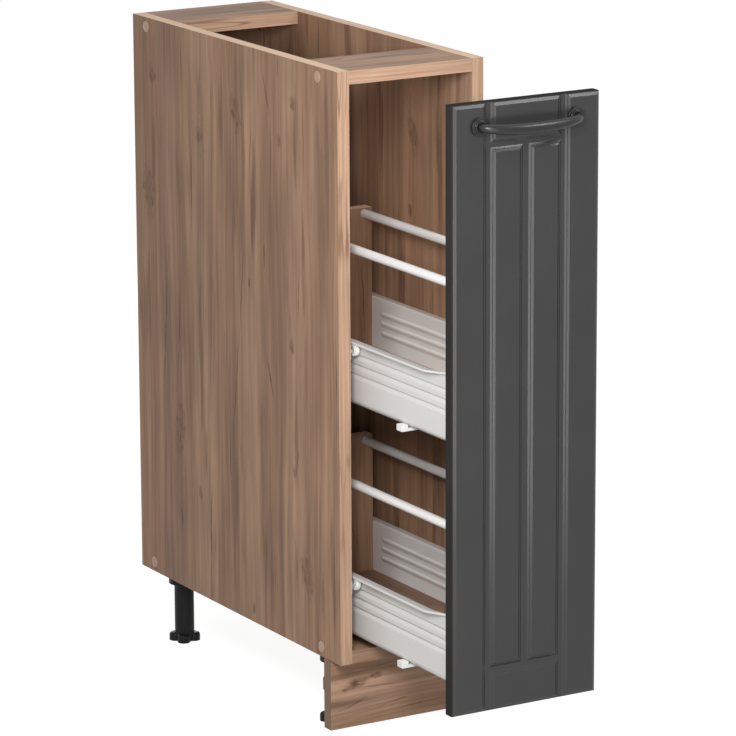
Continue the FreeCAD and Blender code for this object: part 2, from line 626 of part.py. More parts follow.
# Plinth board on clips that snap round the front legs
def plinth():
    """Plinth board, the two clips behind it and their screws."""
    board = box("plinth_blank", ("-Places.half_width", "Places.plinth_face", "Sizes.plinth_lift"),
                ("Sizes.carcass_width", "Sizes.plinth_thickness", "Places.plinth_height"))
    board_holes = []
    clips = []
    screws = []
    ring_radius = "(Sizes.leg_shaft_radius + Sizes.fixing_clearance)"
    middle = "Places.clip_low + Sizes.clip_height / 2"
    for side, sign in SIGNS:
        x = f"{sign} * Sizes.leg_offset"
        y = "Places.leg_front_y"
        foot_of_clip = (x, y, "Places.clip_low")
        ring = cylinder(side + "_clip_ring", foot_of_clip, "+Z", f"{ring_radius} + Sizes.clip_wall",
                        "Sizes.clip_height")
        arm = box(side + "_clip_arm",
                  (f"{x} - Sizes.clip_mouth / 2", "Places.plinth_rear", "Places.clip_low"),
                  ("Sizes.clip_mouth", "Places.leg_front_y - Places.plinth_rear", "Sizes.clip_height"))
        plate = box(side + "_clip_plate",
                    (f"{x} - Sizes.clip_plate_width / 2", "Places.plinth_rear", "Places.clip_low"),
                    ("Sizes.clip_plate_width", "Sizes.clip_wall", "Sizes.clip_height"))
        bore = cylinder(side + "_clip_bore", foot_of_clip, "+Z", ring_radius, "Sizes.clip_height")
        mouth = box(side + "_clip_mouth", (f"{x} - Sizes.clip_mouth / 2", y, "Places.clip_low"),
                    ("Sizes.clip_mouth", "Sizes.leg_shaft_radius * 2", "Sizes.clip_height"))
        tools = [bore, mouth]
        for end in (-1, 1):
            seat = (f"{x} + {end} * Sizes.clip_screw_spread / 2", "Places.plinth_rear + Sizes.clip_wall",
                    middle)
            tag = f"{side}_clip_{'inner' if end * sign < 0 else 'outer'}"
            tools.append(screw_hole(tag + "_plate_hole", seat, "-Y", "Sizes.clip_wall"))
            entry = (seat[0], "Places.plinth_rear", middle)
            board_holes.append(screw_hole(tag + "_board_hole", entry, "-Y",
                                          "Sizes.clip_screw_bite + Sizes.fixing_clearance"))
            screws.append(wood_screw(tag + "_screw", seat, "-Y", "Sizes.clip_wall + Sizes.clip_screw_bite"))
        body = fuse(side + "_clip_body", [ring, arm, plate])
        clips.append(cut(side + "_clip", body, tools))
    keep(cut("plinth_board", board, board_holes), "plinth_board")
    keep(group("plinth_clips", clips), "plinth_clips")
    keep(group("plinth_clip_screws", screws), "plinth_clip_screws")


# Runners on the carcass and the rollers at both ends of the travel
def runners():
    """A sheet channel for each drawer side, with stops at both ends of the roller's travel."""
    screws = []
    for level in LEVELS:
        left_runner = runner(level)
        keep(left_runner, f"{level}_left_runner")
        keep(mirror(f"{level}_right_runner", left_runner), f"{level}_right_runner")
        for side, sign in SIGNS:
            for spot, along, height in runner_screw_spots(level):
                seat = (f"{sign} * Places.web_face", along, height)
                screws.append(wood_screw(f"{side}_runner_screw_{spot}", seat, sideways(-sign),
                                         "Sizes.screw_bite"))
    keep(group("runner_screws", screws), "runner_screws")


def runner(level):
    """The left runner of one drawer."""
    name = f"{level}_left_runner"
    low = f"Places.{level}_foot + Places.runner_rise"
    wall = "-Places.inner_half"
    end = "Places.rear_stop_y + Sizes.runner_sheet"
    depth = "Places.inner_half - Places.runner_lip"
    web = box(name + "_web", (wall, "Places.runner_start", low),
              ("Sizes.runner_sheet", f"{end} - Places.runner_start", "Places.runner_height"))
    flange = (depth, f"{end} - Places.runner_mouth_y", "Sizes.runner_sheet")
    floor = box(name + "_floor", (wall, "Places.runner_mouth_y", low), flange)
    roof = box(name + "_roof",
               (wall, "Places.runner_mouth_y", f"{low} + Places.runner_height - Sizes.runner_sheet"), flange)
    stop = (depth, "Sizes.runner_sheet", "Places.runner_height")
    front_stop = box(name + "_front_stop", (wall, "Places.front_stop_y - Sizes.runner_sheet", low), stop)
    rear_stop = box(name + "_rear_stop", (wall, "Places.rear_stop_y", low), stop)
    channel = fuse(name + "_channel", [web, floor, roof, front_stop, rear_stop])
    holes = [screw_hole(f"{name}_hole_{spot}", (wall, along, height), "+X", "Sizes.runner_sheet")
             for spot, along, height in runner_screw_spots(level)]
    return cut(name, channel, holes)


def roller(name, radius, width, start, direction):
    """A plastic roller with bevelled edges and a bore for its pin."""
    wheel = cylinder(name + "_wheel", start, direction, radius, width)
    bevel = doc.addObject("Part::Chamfer", name + "_bevelled")
    bevel.Base = wheel
    edge = size("roller_edge")
    bevel.Edges = [(1, edge, edge), (3, edge, edge)]
    bore = cylinder(name + "_bore", start, direction, "Sizes.pin_radius + Sizes.pin_clearance", width)
    return cut(name, bevel, [bore])


def roller_pin(name, base, direction, collar, width):
    """A riveted pin: collar on the metal, shank through the roller and a head."""
    reach = f"{collar} + {width} + 2 * Sizes.pin_play"
    collar_piece = cylinder(name + "_collar", base, direction, "Sizes.pin_collar_radius", collar)
    shank = cylinder(name + "_shank", base, direction, "Sizes.pin_radius", f"{reach} + Sizes.pin_head")
    step = 1 if direction == "+X" else -1
    head_start = (f"{base[0]} + {step} * ({reach})", base[1], base[2])
    head = cylinder(name + "_head", head_start, direction, "Sizes.pin_head_radius", "Sizes.pin_head")
    return fuse(name, [collar_piece, shank, head])


def rollers():
    """Rollers at the mouth of the carcass and at the rear end of the drawers, with their pins."""
    cabinet_pins = []
    drawer_pins = []
    for level in LEVELS:
        for side, sign in SIGNS:
            inward = sideways(sign)
            outward = sideways(-sign)
            y = "Places.cabinet_roller_y"
            z = f"Places.{level}_foot + Places.cabinet_roller_rise"
            inner = "(Places.side_outer + Sizes.cabinet_roller_gap)"
            name = f"{level}_{side}_cabinet_roller"
            keep(roller(name, "Sizes.cabinet_roller_radius", "Sizes.cabinet_roller_width",
                        (f"{sign} * {inner}", y, z), outward), name)
            collar = f"(Places.web_face - {inner} - Sizes.cabinet_roller_width - Sizes.pin_play)"
            cabinet_pins.append(roller_pin(name + "_pin", (f"{sign} * Places.web_face", y, z), inward,
                                           collar, "Sizes.cabinet_roller_width"))
            y = "Places.drawer_roller_y"
            z = f"Places.{level}_foot + Places.drawer_roller_rise"
            name = f"{level}_{side}_drawer_roller"
            start = (f"{sign} * (Places.side_outer + Sizes.drawer_roller_gap)", y, z)
            keep(roller(name, "Sizes.drawer_roller_radius", "Sizes.drawer_roller_width", start, outward),
                 name)
            drawer_pins.append(roller_pin(name + "_pin", (f"{sign} * Places.side_outer", y, z), outward,
                                          "(Sizes.drawer_roller_gap - Sizes.pin_play)",
                                          "Sizes.drawer_roller_width"))
    keep(group("cabinet_roller_pins", cabinet_pins), "cabinet_roller_pins")
    keep(group("drawer_roller_pins", drawer_pins), "drawer_roller_pins")


# Front panel with its milled pattern
def slope(name, span_x, span_z, faces, bevels):
    """A block on the panel whose four edges slope in from its foot to its face.

    span_x and span_z give the foot; faces its near and far plane; bevels its left, right, lower
    and upper slopes.
    """
    block = doc.addObject("Part::Wedge", name)
    left, right, lower, upper = bevels
    block.setExpression("Xmin", span_x[0])
    block.setExpression("Xmax", span_x[1])
    block.setExpression("Ymin", "0")
    block.setExpression("Ymax", f"{faces[0]} - ({faces[1]})")
    block.setExpression("Zmin", span_z[0])
    block.setExpression("Zmax", span_z[1])
    block.setExpression("X2min", f"{span_x[0]} + {left}")
    block.setExpression("X2max", f"{span_x[1]} - ({right})")
    block.setExpression("Z2min", f"{span_z[0]} + {lower}")
    block.setExpression("Z2max", f"{span_z[1]} - ({upper})")
    return block


def raised_block(name, span_x, span_z, outer_edges):
    """One raised field of the pattern; outer edges have the plain bevel, the others a stepped one.

    The block is drawn upside down along Y, so it is mirrored on to the panel.
    """
    inset = "(Sizes.step_bevel + Sizes.step_ledge)"
    plain_low = "Sizes.edge_foot"
    plain_high = "(Sizes.edge_bevel - Sizes.edge_foot)"
    low_bevels = []
    high_bevels = []
    start_insets = []
    for edge in ("left", "right", "lower", "upper"):
        outer = edge in outer_edges
        low_bevels.append(plain_low if outer else "Sizes.step_bevel")
        high_bevels.append(plain_high if outer else "Sizes.face_bevel")
        start_insets.append(plain_low if outer else inset)
    low = slope(name + "_foot", span_x, span_z, ("Places.slab_face", "Places.step_face"), low_bevels)
    high_x = (f"{span_x[0]} + {start_insets[0]}", f"{span_x[1]} - {start_insets[1]}")
    high_z = (f"{span_z[0]} + {start_insets[2]}", f"{span_z[1]} - {start_insets[3]}")
    high = slope(name + "_face", high_x, high_z, ("Places.step_face", "Places.panel_face"), high_bevels)
    pieces = []
    for block, plane in ((low, "Places.slab_face"), (high, "Places.step_face")):
        flipped = doc.addObject("Part::Mirroring", block.Name + "_out")
        flipped.Source = block
        flipped.Normal = FreeCAD.Vector(0, 1, 0)
        flipped.setExpression("Placement.Base.y", plane)
        pieces.append(flipped)
    return pieces


def front_panel():
    """The tall front: a slab with stiles, cross rails and two planks standing out of it."""
    half = "Sizes.front_width / 2"
    slab = box("front_slab", (f"-{half}", "Places.slab_face", "Places.panel_bottom"),
               ("Sizes.front_width", "Sizes.front_thickness - Sizes.relief_depth", "Sizes.front_height"))
    stile = f"({half} - Sizes.stile_width)"
    field = f"({stile} - Sizes.groove_width)"
    whole = ("Places.panel_bottom", "Places.panel_top")
    top = ("Places.panel_top - Sizes.crossrail_height", "Places.panel_top")
    bottom = ("Places.panel_bottom", "Places.panel_bottom + Sizes.crossrail_height")
    planks = (f"{bottom[1]} + Sizes.groove_width", f"{top[0]} - Sizes.groove_width")
    blocks = [slab]
    blocks += raised_block("left_stile", (f"-{half}", f"-{stile}"), whole, ("left", "lower", "upper"))
    blocks += raised_block("right_stile", (stile, half), whole, ("right", "lower", "upper"))
    blocks += raised_block("top_crossrail", (f"-{field}", field), top, ("upper",))
    blocks += raised_block("bottom_crossrail", (f"-{field}", field), bottom, ("lower",))
    blocks += raised_block("left_plank", (f"-{field}", "-Sizes.plank_gap / 2"), planks, ())
    blocks += raised_block("right_plank", ("Sizes.plank_gap / 2", field), planks, ())
    holes = []
    for side, sign in SIGNS:
        start = (f"{sign} * Sizes.handle_spacing / 2", "Places.panel_rear", "Places.handle_z")
        holes.append(screw_hole(side + "_handle_hole", start, "-Y", "Sizes.front_thickness",
                                "Sizes.handle_screw_radius"))
        for level in LEVELS:
            for index, (x, z) in enumerate(front_screw_spots(level, sign)):
                holes.append(screw_hole(f"{level}_{side}_front_hole_{index}", (x, "Places.panel_rear", z),
                                        "-Y", "Sizes.screw_bite - Sizes.sheet + Sizes.fixing_clearance"))
    keep(cut("front_panel", fuse("front_blank", blocks), holes), "front_panel")


# Handle
BOW_STATIONS = 12


def handle():
    """A cast bow on two round rosettes, held by screws from behind the front."""
    keep(solid("handle_bow", handle_bow()), "handle_bow")
    rosettes = []
    screws = []
    outline = (
        ("0", "0"),
        ("Sizes.rosette_radius", "0"),
        ("Sizes.rosette_radius", "Sizes.rosette_height"),
        ("Sizes.boss_radius", "Sizes.rosette_height"),
        ("Sizes.boss_radius", "Sizes.boss_height"),
        ("0", "Sizes.boss_height"),
    )
    for side, sign in SIGNS:
        x = f"{sign} * Sizes.handle_spacing / 2"
        ring = turned(side + "_rosette", outline, (x, "Places.panel_face", "Places.handle_z"), "-Y")
        post = screw_hole(side + "_rosette_bore", (x, "Places.panel_face", "Places.handle_z"), "-Y",
                          "Sizes.boss_height", "Sizes.bow_end_radius")
        rosettes.append(cut(side + "_rosette_ring", ring, [post]))
        screws.append(screw(side + "_handle_screw", (x, "Places.panel_rear", "Places.handle_z"), "-Y",
                            "Sizes.handle_screw_head_radius", "Sizes.handle_screw_head_height",
                            "Sizes.handle_screw_radius", "Sizes.front_thickness + Sizes.handle_screw_bite"))
    keep(group("handle_rosettes", rosettes), "handle_rosettes")
    keep(group("handle_screws", screws), "handle_screws")


def bow_point(angle):
    """Point on the bow's middle line; the angle runs from the right post to the left one."""
    power = 2 / size("bow_squareness")
    across = math.cos(angle)
    depth = max(math.sin(angle), 0) ** power
    reach = size("handle_projection") - size("bow_mid_thickness") - size("boss_height")
    x = math.copysign(abs(across) ** power, across) * size("handle_spacing") / 2
    y = place("panel_face") - size("boss_height") - reach * depth
    return FreeCAD.Vector(x, y, place("handle_z") - size("handle_droop") * depth ** 2)


def handle_bow():
    """Loft through ellipses along the bow, thickest in the middle, on two threaded posts."""
    nudge = 0.02
    rings = []
    for station in range(BOW_STATIONS + 1):
        angle = math.pi * station / BOW_STATIONS
        middle = bow_point(angle)
        along = bow_point(min(angle + nudge, math.pi)) - bow_point(max(angle - nudge, 0))
        along.z = 0
        if station in (0, BOW_STATIONS):
            along = FreeCAD.Vector(0, -1 if station == 0 else 1, 0)
        along.normalize()
        up = FreeCAD.Vector(0, 0, 1)
        swell = math.sin(angle) ** 2
        high = size("bow_end_radius") + swell * (size("bow_mid_height") - size("bow_end_radius"))
        thick = size("bow_end_radius") + swell * (size("bow_mid_thickness") - size("bow_end_radius"))
        across = up.cross(along)
        if high > thick:
            ellipse = Part.Ellipse(middle + up * high, middle + across * thick, middle)
            rings.append(Part.Wire(ellipse.toShape()))
        else:
            circle = Part.Circle(middle, along, high)
            circle.XAxis = up
            rings.append(Part.Wire(circle.toShape()))
    bow = Part.makeLoft(rings, True, False)
    for sign in (-1, 1):
        mouth = FreeCAD.Vector(sign * size("handle_spacing") / 2, place("panel_face"), place("handle_z"))
        outward = FreeCAD.Vector(0, -1, 0)
        bow = bow.fuse(Part.makeCylinder(size("bow_end_radius"), size("boss_height"), mouth, outward))
        radius = size("handle_screw_radius") + size("fixing_clearance")
        depth = size("handle_screw_bite") + size("fixing_clearance")
        bow = bow.cut(Part.makeCylinder(radius, depth, mouth, outward))
    return bow


# Drawers
BEND_STEPS = 3
RIBS = 3


def front_screw_spots(level, sign):
    """Screws that hold one drawer side's front flange to the front panel."""
    x = f"{sign} * (Places.side_inner - Sizes.front_flange / 2)"
    low = f"Places.{level}_foot + Places.flange_low + Sizes.front_flange / 2"
    high = f"Places.{level}_foot + Places.flange_high - Sizes.front_flange / 2"
    return ((x, low), (x, high))


def side_outline(y, foot_level, rib, rise, taper):
    """Closed outline of a left drawer side's sheet at one place along the drawer."""
    sheet = size("sheet")
    skin = -place("side_outer")
    back = skin + sheet
    lip = taper - place("lip_edge")
    top = foot_level + size("side_height") + rise
    bend = size("bend_radius")
    flange_end = skin + size("floor_flange")
    third = size("rib_width") / 3
    edge = size("rib_width") / 2
    rib_heights = [foot_level + size("side_height") - size("rib_first") - size("rib_pitch") * index
                   for index in range(RIBS)]
    turns = [math.pi / 2 * step / BEND_STEPS for step in range(BEND_STEPS + 1)]

    def bend_point(radius, turn):
        return (skin + bend - radius * math.sin(turn), foot_level + bend - radius * math.cos(turn))

    def groove(face, height, direction):
        spots = ((0, -edge), (rib, -third / 2), (rib, third / 2), (0, edge))
        return [(face + depth, height + direction * offset) for depth, offset in spots]

    points = [(flange_end, foot_level)]
    points += [bend_point(bend, turn) for turn in turns]
    for height in reversed(rib_heights):
        points += groove(skin, height, 1)
    points += [(skin, top - sheet), (lip + sheet, top - sheet), (lip + sheet, top - size("rim_drop")),
               (lip, top - size("rim_drop")), (lip, top), (back, top)]
    for height in rib_heights:
        points += groove(back, height, -1)
    points += [bend_point(bend - sheet, turn) for turn in reversed(turns)]
    points.append((flange_end, foot_level + sheet))
    corners = [FreeCAD.Vector(x, y, z) for x, z in points]
    return Part.makePolygon(corners + corners[:1])


def drawer_side_shape(level):
    """Left drawer side: pressed sheet with lip, floor flange, front flange and hem."""
    foot_level = place(level + "_foot")
    front = place("panel_rear")
    end = place("drawer_end")
    groove_start = place("rear_board_face") - size("rib_start")
    rib = size("rib_depth")
    sections = [
        side_outline(end, foot_level, 0, 0, 0),
        side_outline(groove_start, foot_level, 0, 0, 0),
        side_outline(groove_start - size("rib_run_out"), foot_level, rib, 0, 0),
    ]
    narrow = size("lip_taper")
    sections += [
        side_outline(front + size("rise_length"), foot_level, rib, 0, 0),
        side_outline(front + size("narrow_length"), foot_level, rib, size("lip_kink_rise"), narrow),
        side_outline(front, foot_level, rib, size("lip_rise"), narrow),
    ]
    pressed = Part.makeLoft(sections, True, True)
    sheet = size("sheet")
    skin = -place("side_outer")
    flange = Part.makeBox(sheet / 2 + size("front_flange"), sheet, place("flange_high") - place("flange_low"),
                          FreeCAD.Vector(skin + sheet / 2, front, foot_level + place("flange_low")))
    hem = Part.makeBox(size("hem_height") + sheet / 2, size("hem_width"),
                       size("side_height") - size("bend_radius") - sheet,
                       FreeCAD.Vector(skin - size("hem_height"), front, foot_level + size("bend_radius")))
    return pressed.fuse([flange, hem]).removeSplitter()


def rear_screw_spots(level):
    """Heights of the screws from a drawer side into its rear board."""
    return (f"Places.{level}_foot + Sizes.side_screw_low", f"Places.{level}_foot + Sizes.side_screw_high")


def base_clip_spot(sign):
    """Screw of a base clip, across and along the drawer."""
    x = f"{sign} * (Places.side_outer - Sizes.base_clip_screw)"
    y = "Places.panel_rear + Sizes.base_clip_back + Sizes.base_clip_length / 2"
    return x, y


def drawer_sides():
    """Four pressed sides, with the screws that hold them to the front and the rear boards."""
    front_screws = []
    rear_screws = []
    middle = "Places.rear_board_face + Sizes.drawer_board / 2"
    for level in LEVELS:
        name = f"{level}_left_drawer_side"
        blank = solid(name + "_blank", drawer_side_shape(level))
        holes = []
        for index, (x, z) in enumerate(front_screw_spots(level, -1)):
            holes.append(screw_hole(f"{name}_front_{index}", (x, "Places.panel_rear", z), "+Y",
                                    "Sizes.sheet"))
        for index, z in enumerate(rear_screw_spots(level)):
            holes.append(screw_hole(f"{name}_rear_{index}", ("-Places.side_outer", middle, z), "+X",
                                    "Sizes.sheet"))
        x, y = base_clip_spot(-1)
        holes.append(screw_hole(name + "_clip", (x, y, f"Places.{level}_foot"), "+Z", "Sizes.sheet"))
        left = keep(cut(name, blank, holes), name)
        keep(mirror(f"{level}_right_drawer_side", left), f"{level}_right_drawer_side")
        for side, sign in SIGNS:
            for index, (x, z) in enumerate(front_screw_spots(level, sign)):
                seat = (x, "Places.panel_rear + Sizes.sheet", z)
                front_screws.append(wood_screw(f"{level}_{side}_front_screw_{index}", seat, "-Y",
                                               "Sizes.screw_bite"))
            for index, z in enumerate(rear_screw_spots(level)):
                seat = (f"{sign} * Places.side_outer", middle, z)
                rear_screws.append(wood_screw(f"{level}_{side}_rear_screw_{index}", seat, sideways(sign),
                                              "Sizes.screw_bite"))
    keep(group("front_fixing_screws", front_screws), "front_fixing_screws")
    keep(group("rear_board_screws", rear_screws), "rear_board_screws")


def base_panels():
    """The two drawer floors; their lower edges are bevelled to lie in the bend of the sides."""
    clips = []
    screws = []
    for level in LEVELS:
        low = f"Places.{level}_foot + Sizes.sheet"
        blank = box(level + "_base_blank", ("-Places.side_inner", "Places.panel_rear", low),
                    ("2 * Places.side_inner", "Sizes.drawer_length", "Sizes.drawer_board"))
        doc.recompute()
        bevel = size("bend_radius") - size("sheet")
        bevelled = doc.addObject("Part::Chamfer", level + "_base_bevelled")
        bevelled.Base = blank
        bevelled.Edges = [(index, bevel, bevel) for index in long_edges(blank.Shape)]
        holes = []
        for side, sign in SIGNS:
            x, y = base_clip_spot(sign)
            tag = f"{level}_{side}_base_clip"
            holes.append(screw_hole(tag + "_base_hole", (x, y, low), "+Z",
                                    "Sizes.base_clip_bite + Sizes.fixing_clearance"))
            under = f"Places.{level}_foot - Sizes.base_clip_drop"
            clips.append(base_clip(tag, sign, under))
            screws.append(wood_screw(tag + "_screw", (x, y, under), "+Z",
                                     "Sizes.base_clip_drop + Sizes.sheet + Sizes.base_clip_bite"))
        keep(cut(level + "_base_panel", bevelled, holes), level + "_base_panel")
    keep(group("base_clips", clips), "base_clips")
    keep(group("base_clip_screws", screws), "base_clip_screws")


def base_clip(tag, sign, under):
    """A moulded clip: tall end beside the drawer side's foot, tongue under it and a boss round its screw."""
    x, y = base_clip_spot(sign)
    pieces = [cylinder(tag + "_boss", (x, y, under), "+Z", "Sizes.base_clip_boss", "Sizes.base_clip_drop")]
    for name, width, height in (("head", "Sizes.base_clip_head", "Sizes.base_clip_height"),
                                ("tongue", "Sizes.base_clip_width", "Sizes.base_clip_tongue")):
        middle = f"{sign} * (Places.side_outer + Sizes.base_clip_reach - {width} / 2)"
        corner = (f"{middle} - {width} / 2", f"{y} - Sizes.base_clip_length / 2", under)
        pieces.append(box(f"{tag}_{name}", corner, (width, "Sizes.base_clip_length", height)))
    bore = screw_hole(tag + "_bore", (x, y, under), "+Z", "Sizes.base_clip_drop")
    return cut(tag, fuse(tag + "_body", pieces), [bore])


def long_edges(shape):
    """Numbers of a board's two lower edges that run front to back."""
    found = []
    for index, edge in enumerate(shape.Edges, start=1):
        ends = [vertex.Point for vertex in edge.Vertexes]
        along = abs(ends[0].y - ends[1].y)
        low = max(end.z for end in ends) - shape.BoundBox.ZMin
        if along > shape.BoundBox.YLength / 2 and low < shape.BoundBox.ZLength / 2:
            found.append(index)
    return found


def rear_boards():
    """The two oak boards behind the drawers, which also carry the gallery rods."""
    for level in LEVELS:
        low = f"Places.{level}_foot + Sizes.sheet"
        blank = box(level + "_rear_blank", ("-Places.side_inner", "Places.rear_board_face", low),
                    ("2 * Places.side_inner", "Sizes.drawer_board", "Sizes.rear_board_height"))
        doc.recompute()
        bevel = size("bend_radius") - size("sheet")
        bevelled = doc.addObject("Part::Chamfer", level + "_rear_bevelled")
        bevelled.Base = blank
        bevelled.Edges = [(index, bevel, bevel) for index in long_edges(blank.Shape)]
        holes = []
        middle = "Places.rear_board_face + Sizes.drawer_board / 2"
        for side, sign in SIGNS:
            for index, z in enumerate(rear_screw_spots(level)):
                start = (f"{sign} * Places.side_inner", middle, z)
                holes.append(screw_hole(f"{level}_{side}_rear_hole_{index}", start, sideways(sign),
                                        "Sizes.screw_bite - Sizes.sheet + Sizes.fixing_clearance"))
            start = (f"{sign} * Places.rod_x", "Places.rear_board_face", rod_height(level))
            holes.append(screw_hole(f"{level}_{side}_rod_hole", start, "+Y", "Sizes.drawer_board",
                                    "Sizes.rod_screw_radius"))
        keep(cut(level + "_rear_board", bevelled, holes), level + "_rear_board")


def rod_height(level):
    """Height of the gallery rods of one drawer."""
    return f"Places.{level}_foot + Sizes.sheet + Sizes.rear_board_height - Sizes.rod_drop"


def gallery():
    """Two tubular rods above each drawer, in sockets at the front and screwed at the back."""
    sockets = []
    screws = []
    front_end = "Places.panel_rear + Sizes.socket_length - Sizes.socket_depth"
    for level in LEVELS:
        z = rod_height(level)
        for side, sign in SIGNS:
            x = f"{sign} * Places.rod_x"
            tag = f"{level}_{side}_rod"
            length = f"Places.rear_board_face - ({front_end})"
            bar = cylinder(tag + "_bar", (x, front_end, z), "+Y", "Sizes.rod_radius", length)
            bore = cylinder(tag + "_bore", (x, front_end, z), "+Y", "Sizes.rod_radius - Sizes.rod_wall",
                            f"{length} - Sizes.rod_plug")
            thread = screw_hole(tag + "_thread", (x, "Places.rear_board_face", z), "-Y",
                                "Sizes.rod_screw_bite + Sizes.fixing_clearance", "Sizes.rod_screw_radius")
            keep(cut(tag, bar, [bore, thread]), tag)
            cup = cylinder(tag + "_cup", (x, "Places.panel_rear", z), "+Y", "Sizes.socket_radius",
                           "Sizes.socket_length")
            seat = screw_hole(tag + "_cup_seat", (x, front_end, z), "+Y", "Sizes.socket_depth",
                              "Sizes.rod_radius")
            sockets.append(cut(tag + "_socket", cup, [seat]))
            screws.append(screw(tag + "_screw", (x, "Places.drawer_end", z), "-Y",
                                "Sizes.rod_screw_head_radius", "Sizes.rod_screw_head_height",
                                "Sizes.rod_screw_radius", "Sizes.drawer_board + Sizes.rod_screw_bite"))
    keep(group("rod_sockets", sockets), "rod_sockets")
    keep(group("rod_screws", screws), "rod_screws")


def check_model():
    """Stops if any object failed or any sub-part has no sound shape."""
    failed = [item.Name for item in doc.Objects if {"Invalid", "Error"} & set(item.State)]
    if failed:
        raise RuntimeError("objects failed: " + ", ".join(failed))
    for piece in subparts:
        if piece.Shape.isNull() or not piece.Shape.isValid() or not piece.Shape.Solids:
            raise RuntimeError("no sound shape: " + piece.Label)


def write_parts():
    """Writes every sub-part to a file with its own name."""
    os.makedirs("parts", exist_ok=True)
    for piece in subparts:
        piece.Shape.exportStep(f"parts/{piece.Label}.step")
        print(f"{piece.Label}: {len(piece.Shape.Solids)} solid(s), {piece.Shape.Volume:.0f} mm3")
    print(len(subparts), "sub-parts written")


side_panels()
carcass_shelves()
back_panel()
carcass_screws()
legs()
plinth()
runners()
rollers()
front_panel()
handle()
drawer_sides()
base_panels()
rear_boards()
gallery()
doc.recompute()
check_model()
write_parts()
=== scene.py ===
"""Looks of the pull-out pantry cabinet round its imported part: materials, finer pieces, light, camera."""
import itertools
import math
import random

import bmesh
import bpy
from mathutils import Matrix, Vector


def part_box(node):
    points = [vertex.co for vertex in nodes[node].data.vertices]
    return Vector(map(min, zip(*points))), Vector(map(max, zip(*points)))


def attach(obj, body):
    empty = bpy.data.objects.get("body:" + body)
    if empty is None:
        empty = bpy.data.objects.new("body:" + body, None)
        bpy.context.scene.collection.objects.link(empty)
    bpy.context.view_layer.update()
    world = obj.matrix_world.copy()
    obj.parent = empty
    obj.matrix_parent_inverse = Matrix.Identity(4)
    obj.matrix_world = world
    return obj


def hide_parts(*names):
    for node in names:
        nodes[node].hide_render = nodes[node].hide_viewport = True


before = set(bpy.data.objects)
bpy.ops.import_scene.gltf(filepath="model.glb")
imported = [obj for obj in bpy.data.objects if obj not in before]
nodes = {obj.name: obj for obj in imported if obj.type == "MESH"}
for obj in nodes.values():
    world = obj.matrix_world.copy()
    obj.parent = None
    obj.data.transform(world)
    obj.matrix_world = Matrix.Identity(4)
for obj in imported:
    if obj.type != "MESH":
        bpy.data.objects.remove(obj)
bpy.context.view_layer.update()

MM = 0.001
LEVELS = ("lower", "upper")
SIDES = (("left", -1), ("right", 1))
X_AXIS, Y_AXIS, Z_AXIS = range(3)
# Points nearer than this are one point
WELD_REACH = 0.002 * MM


def tone(red, green, blue):
    """Linear colour of an 8-bit screen colour."""
    linear = []
    for part in (red, green, blue):
        share = part / 255
        linear.append(share / 12.92 if share <= 0.04045 else ((share + 0.055) / 1.055) ** 2.4)
    return (*linear, 1.0)


def clamp(value):
    """A value held between 0 and 1."""
    return min(1.0, max(0.0, value))


# Shader trees

# Sockets of a mix node for colours, whose names also stand for other kinds of value
MIX_SHARE, MIX_FIRST, MIX_SECOND, MIX_RESULT = 0, 6, 7, 2


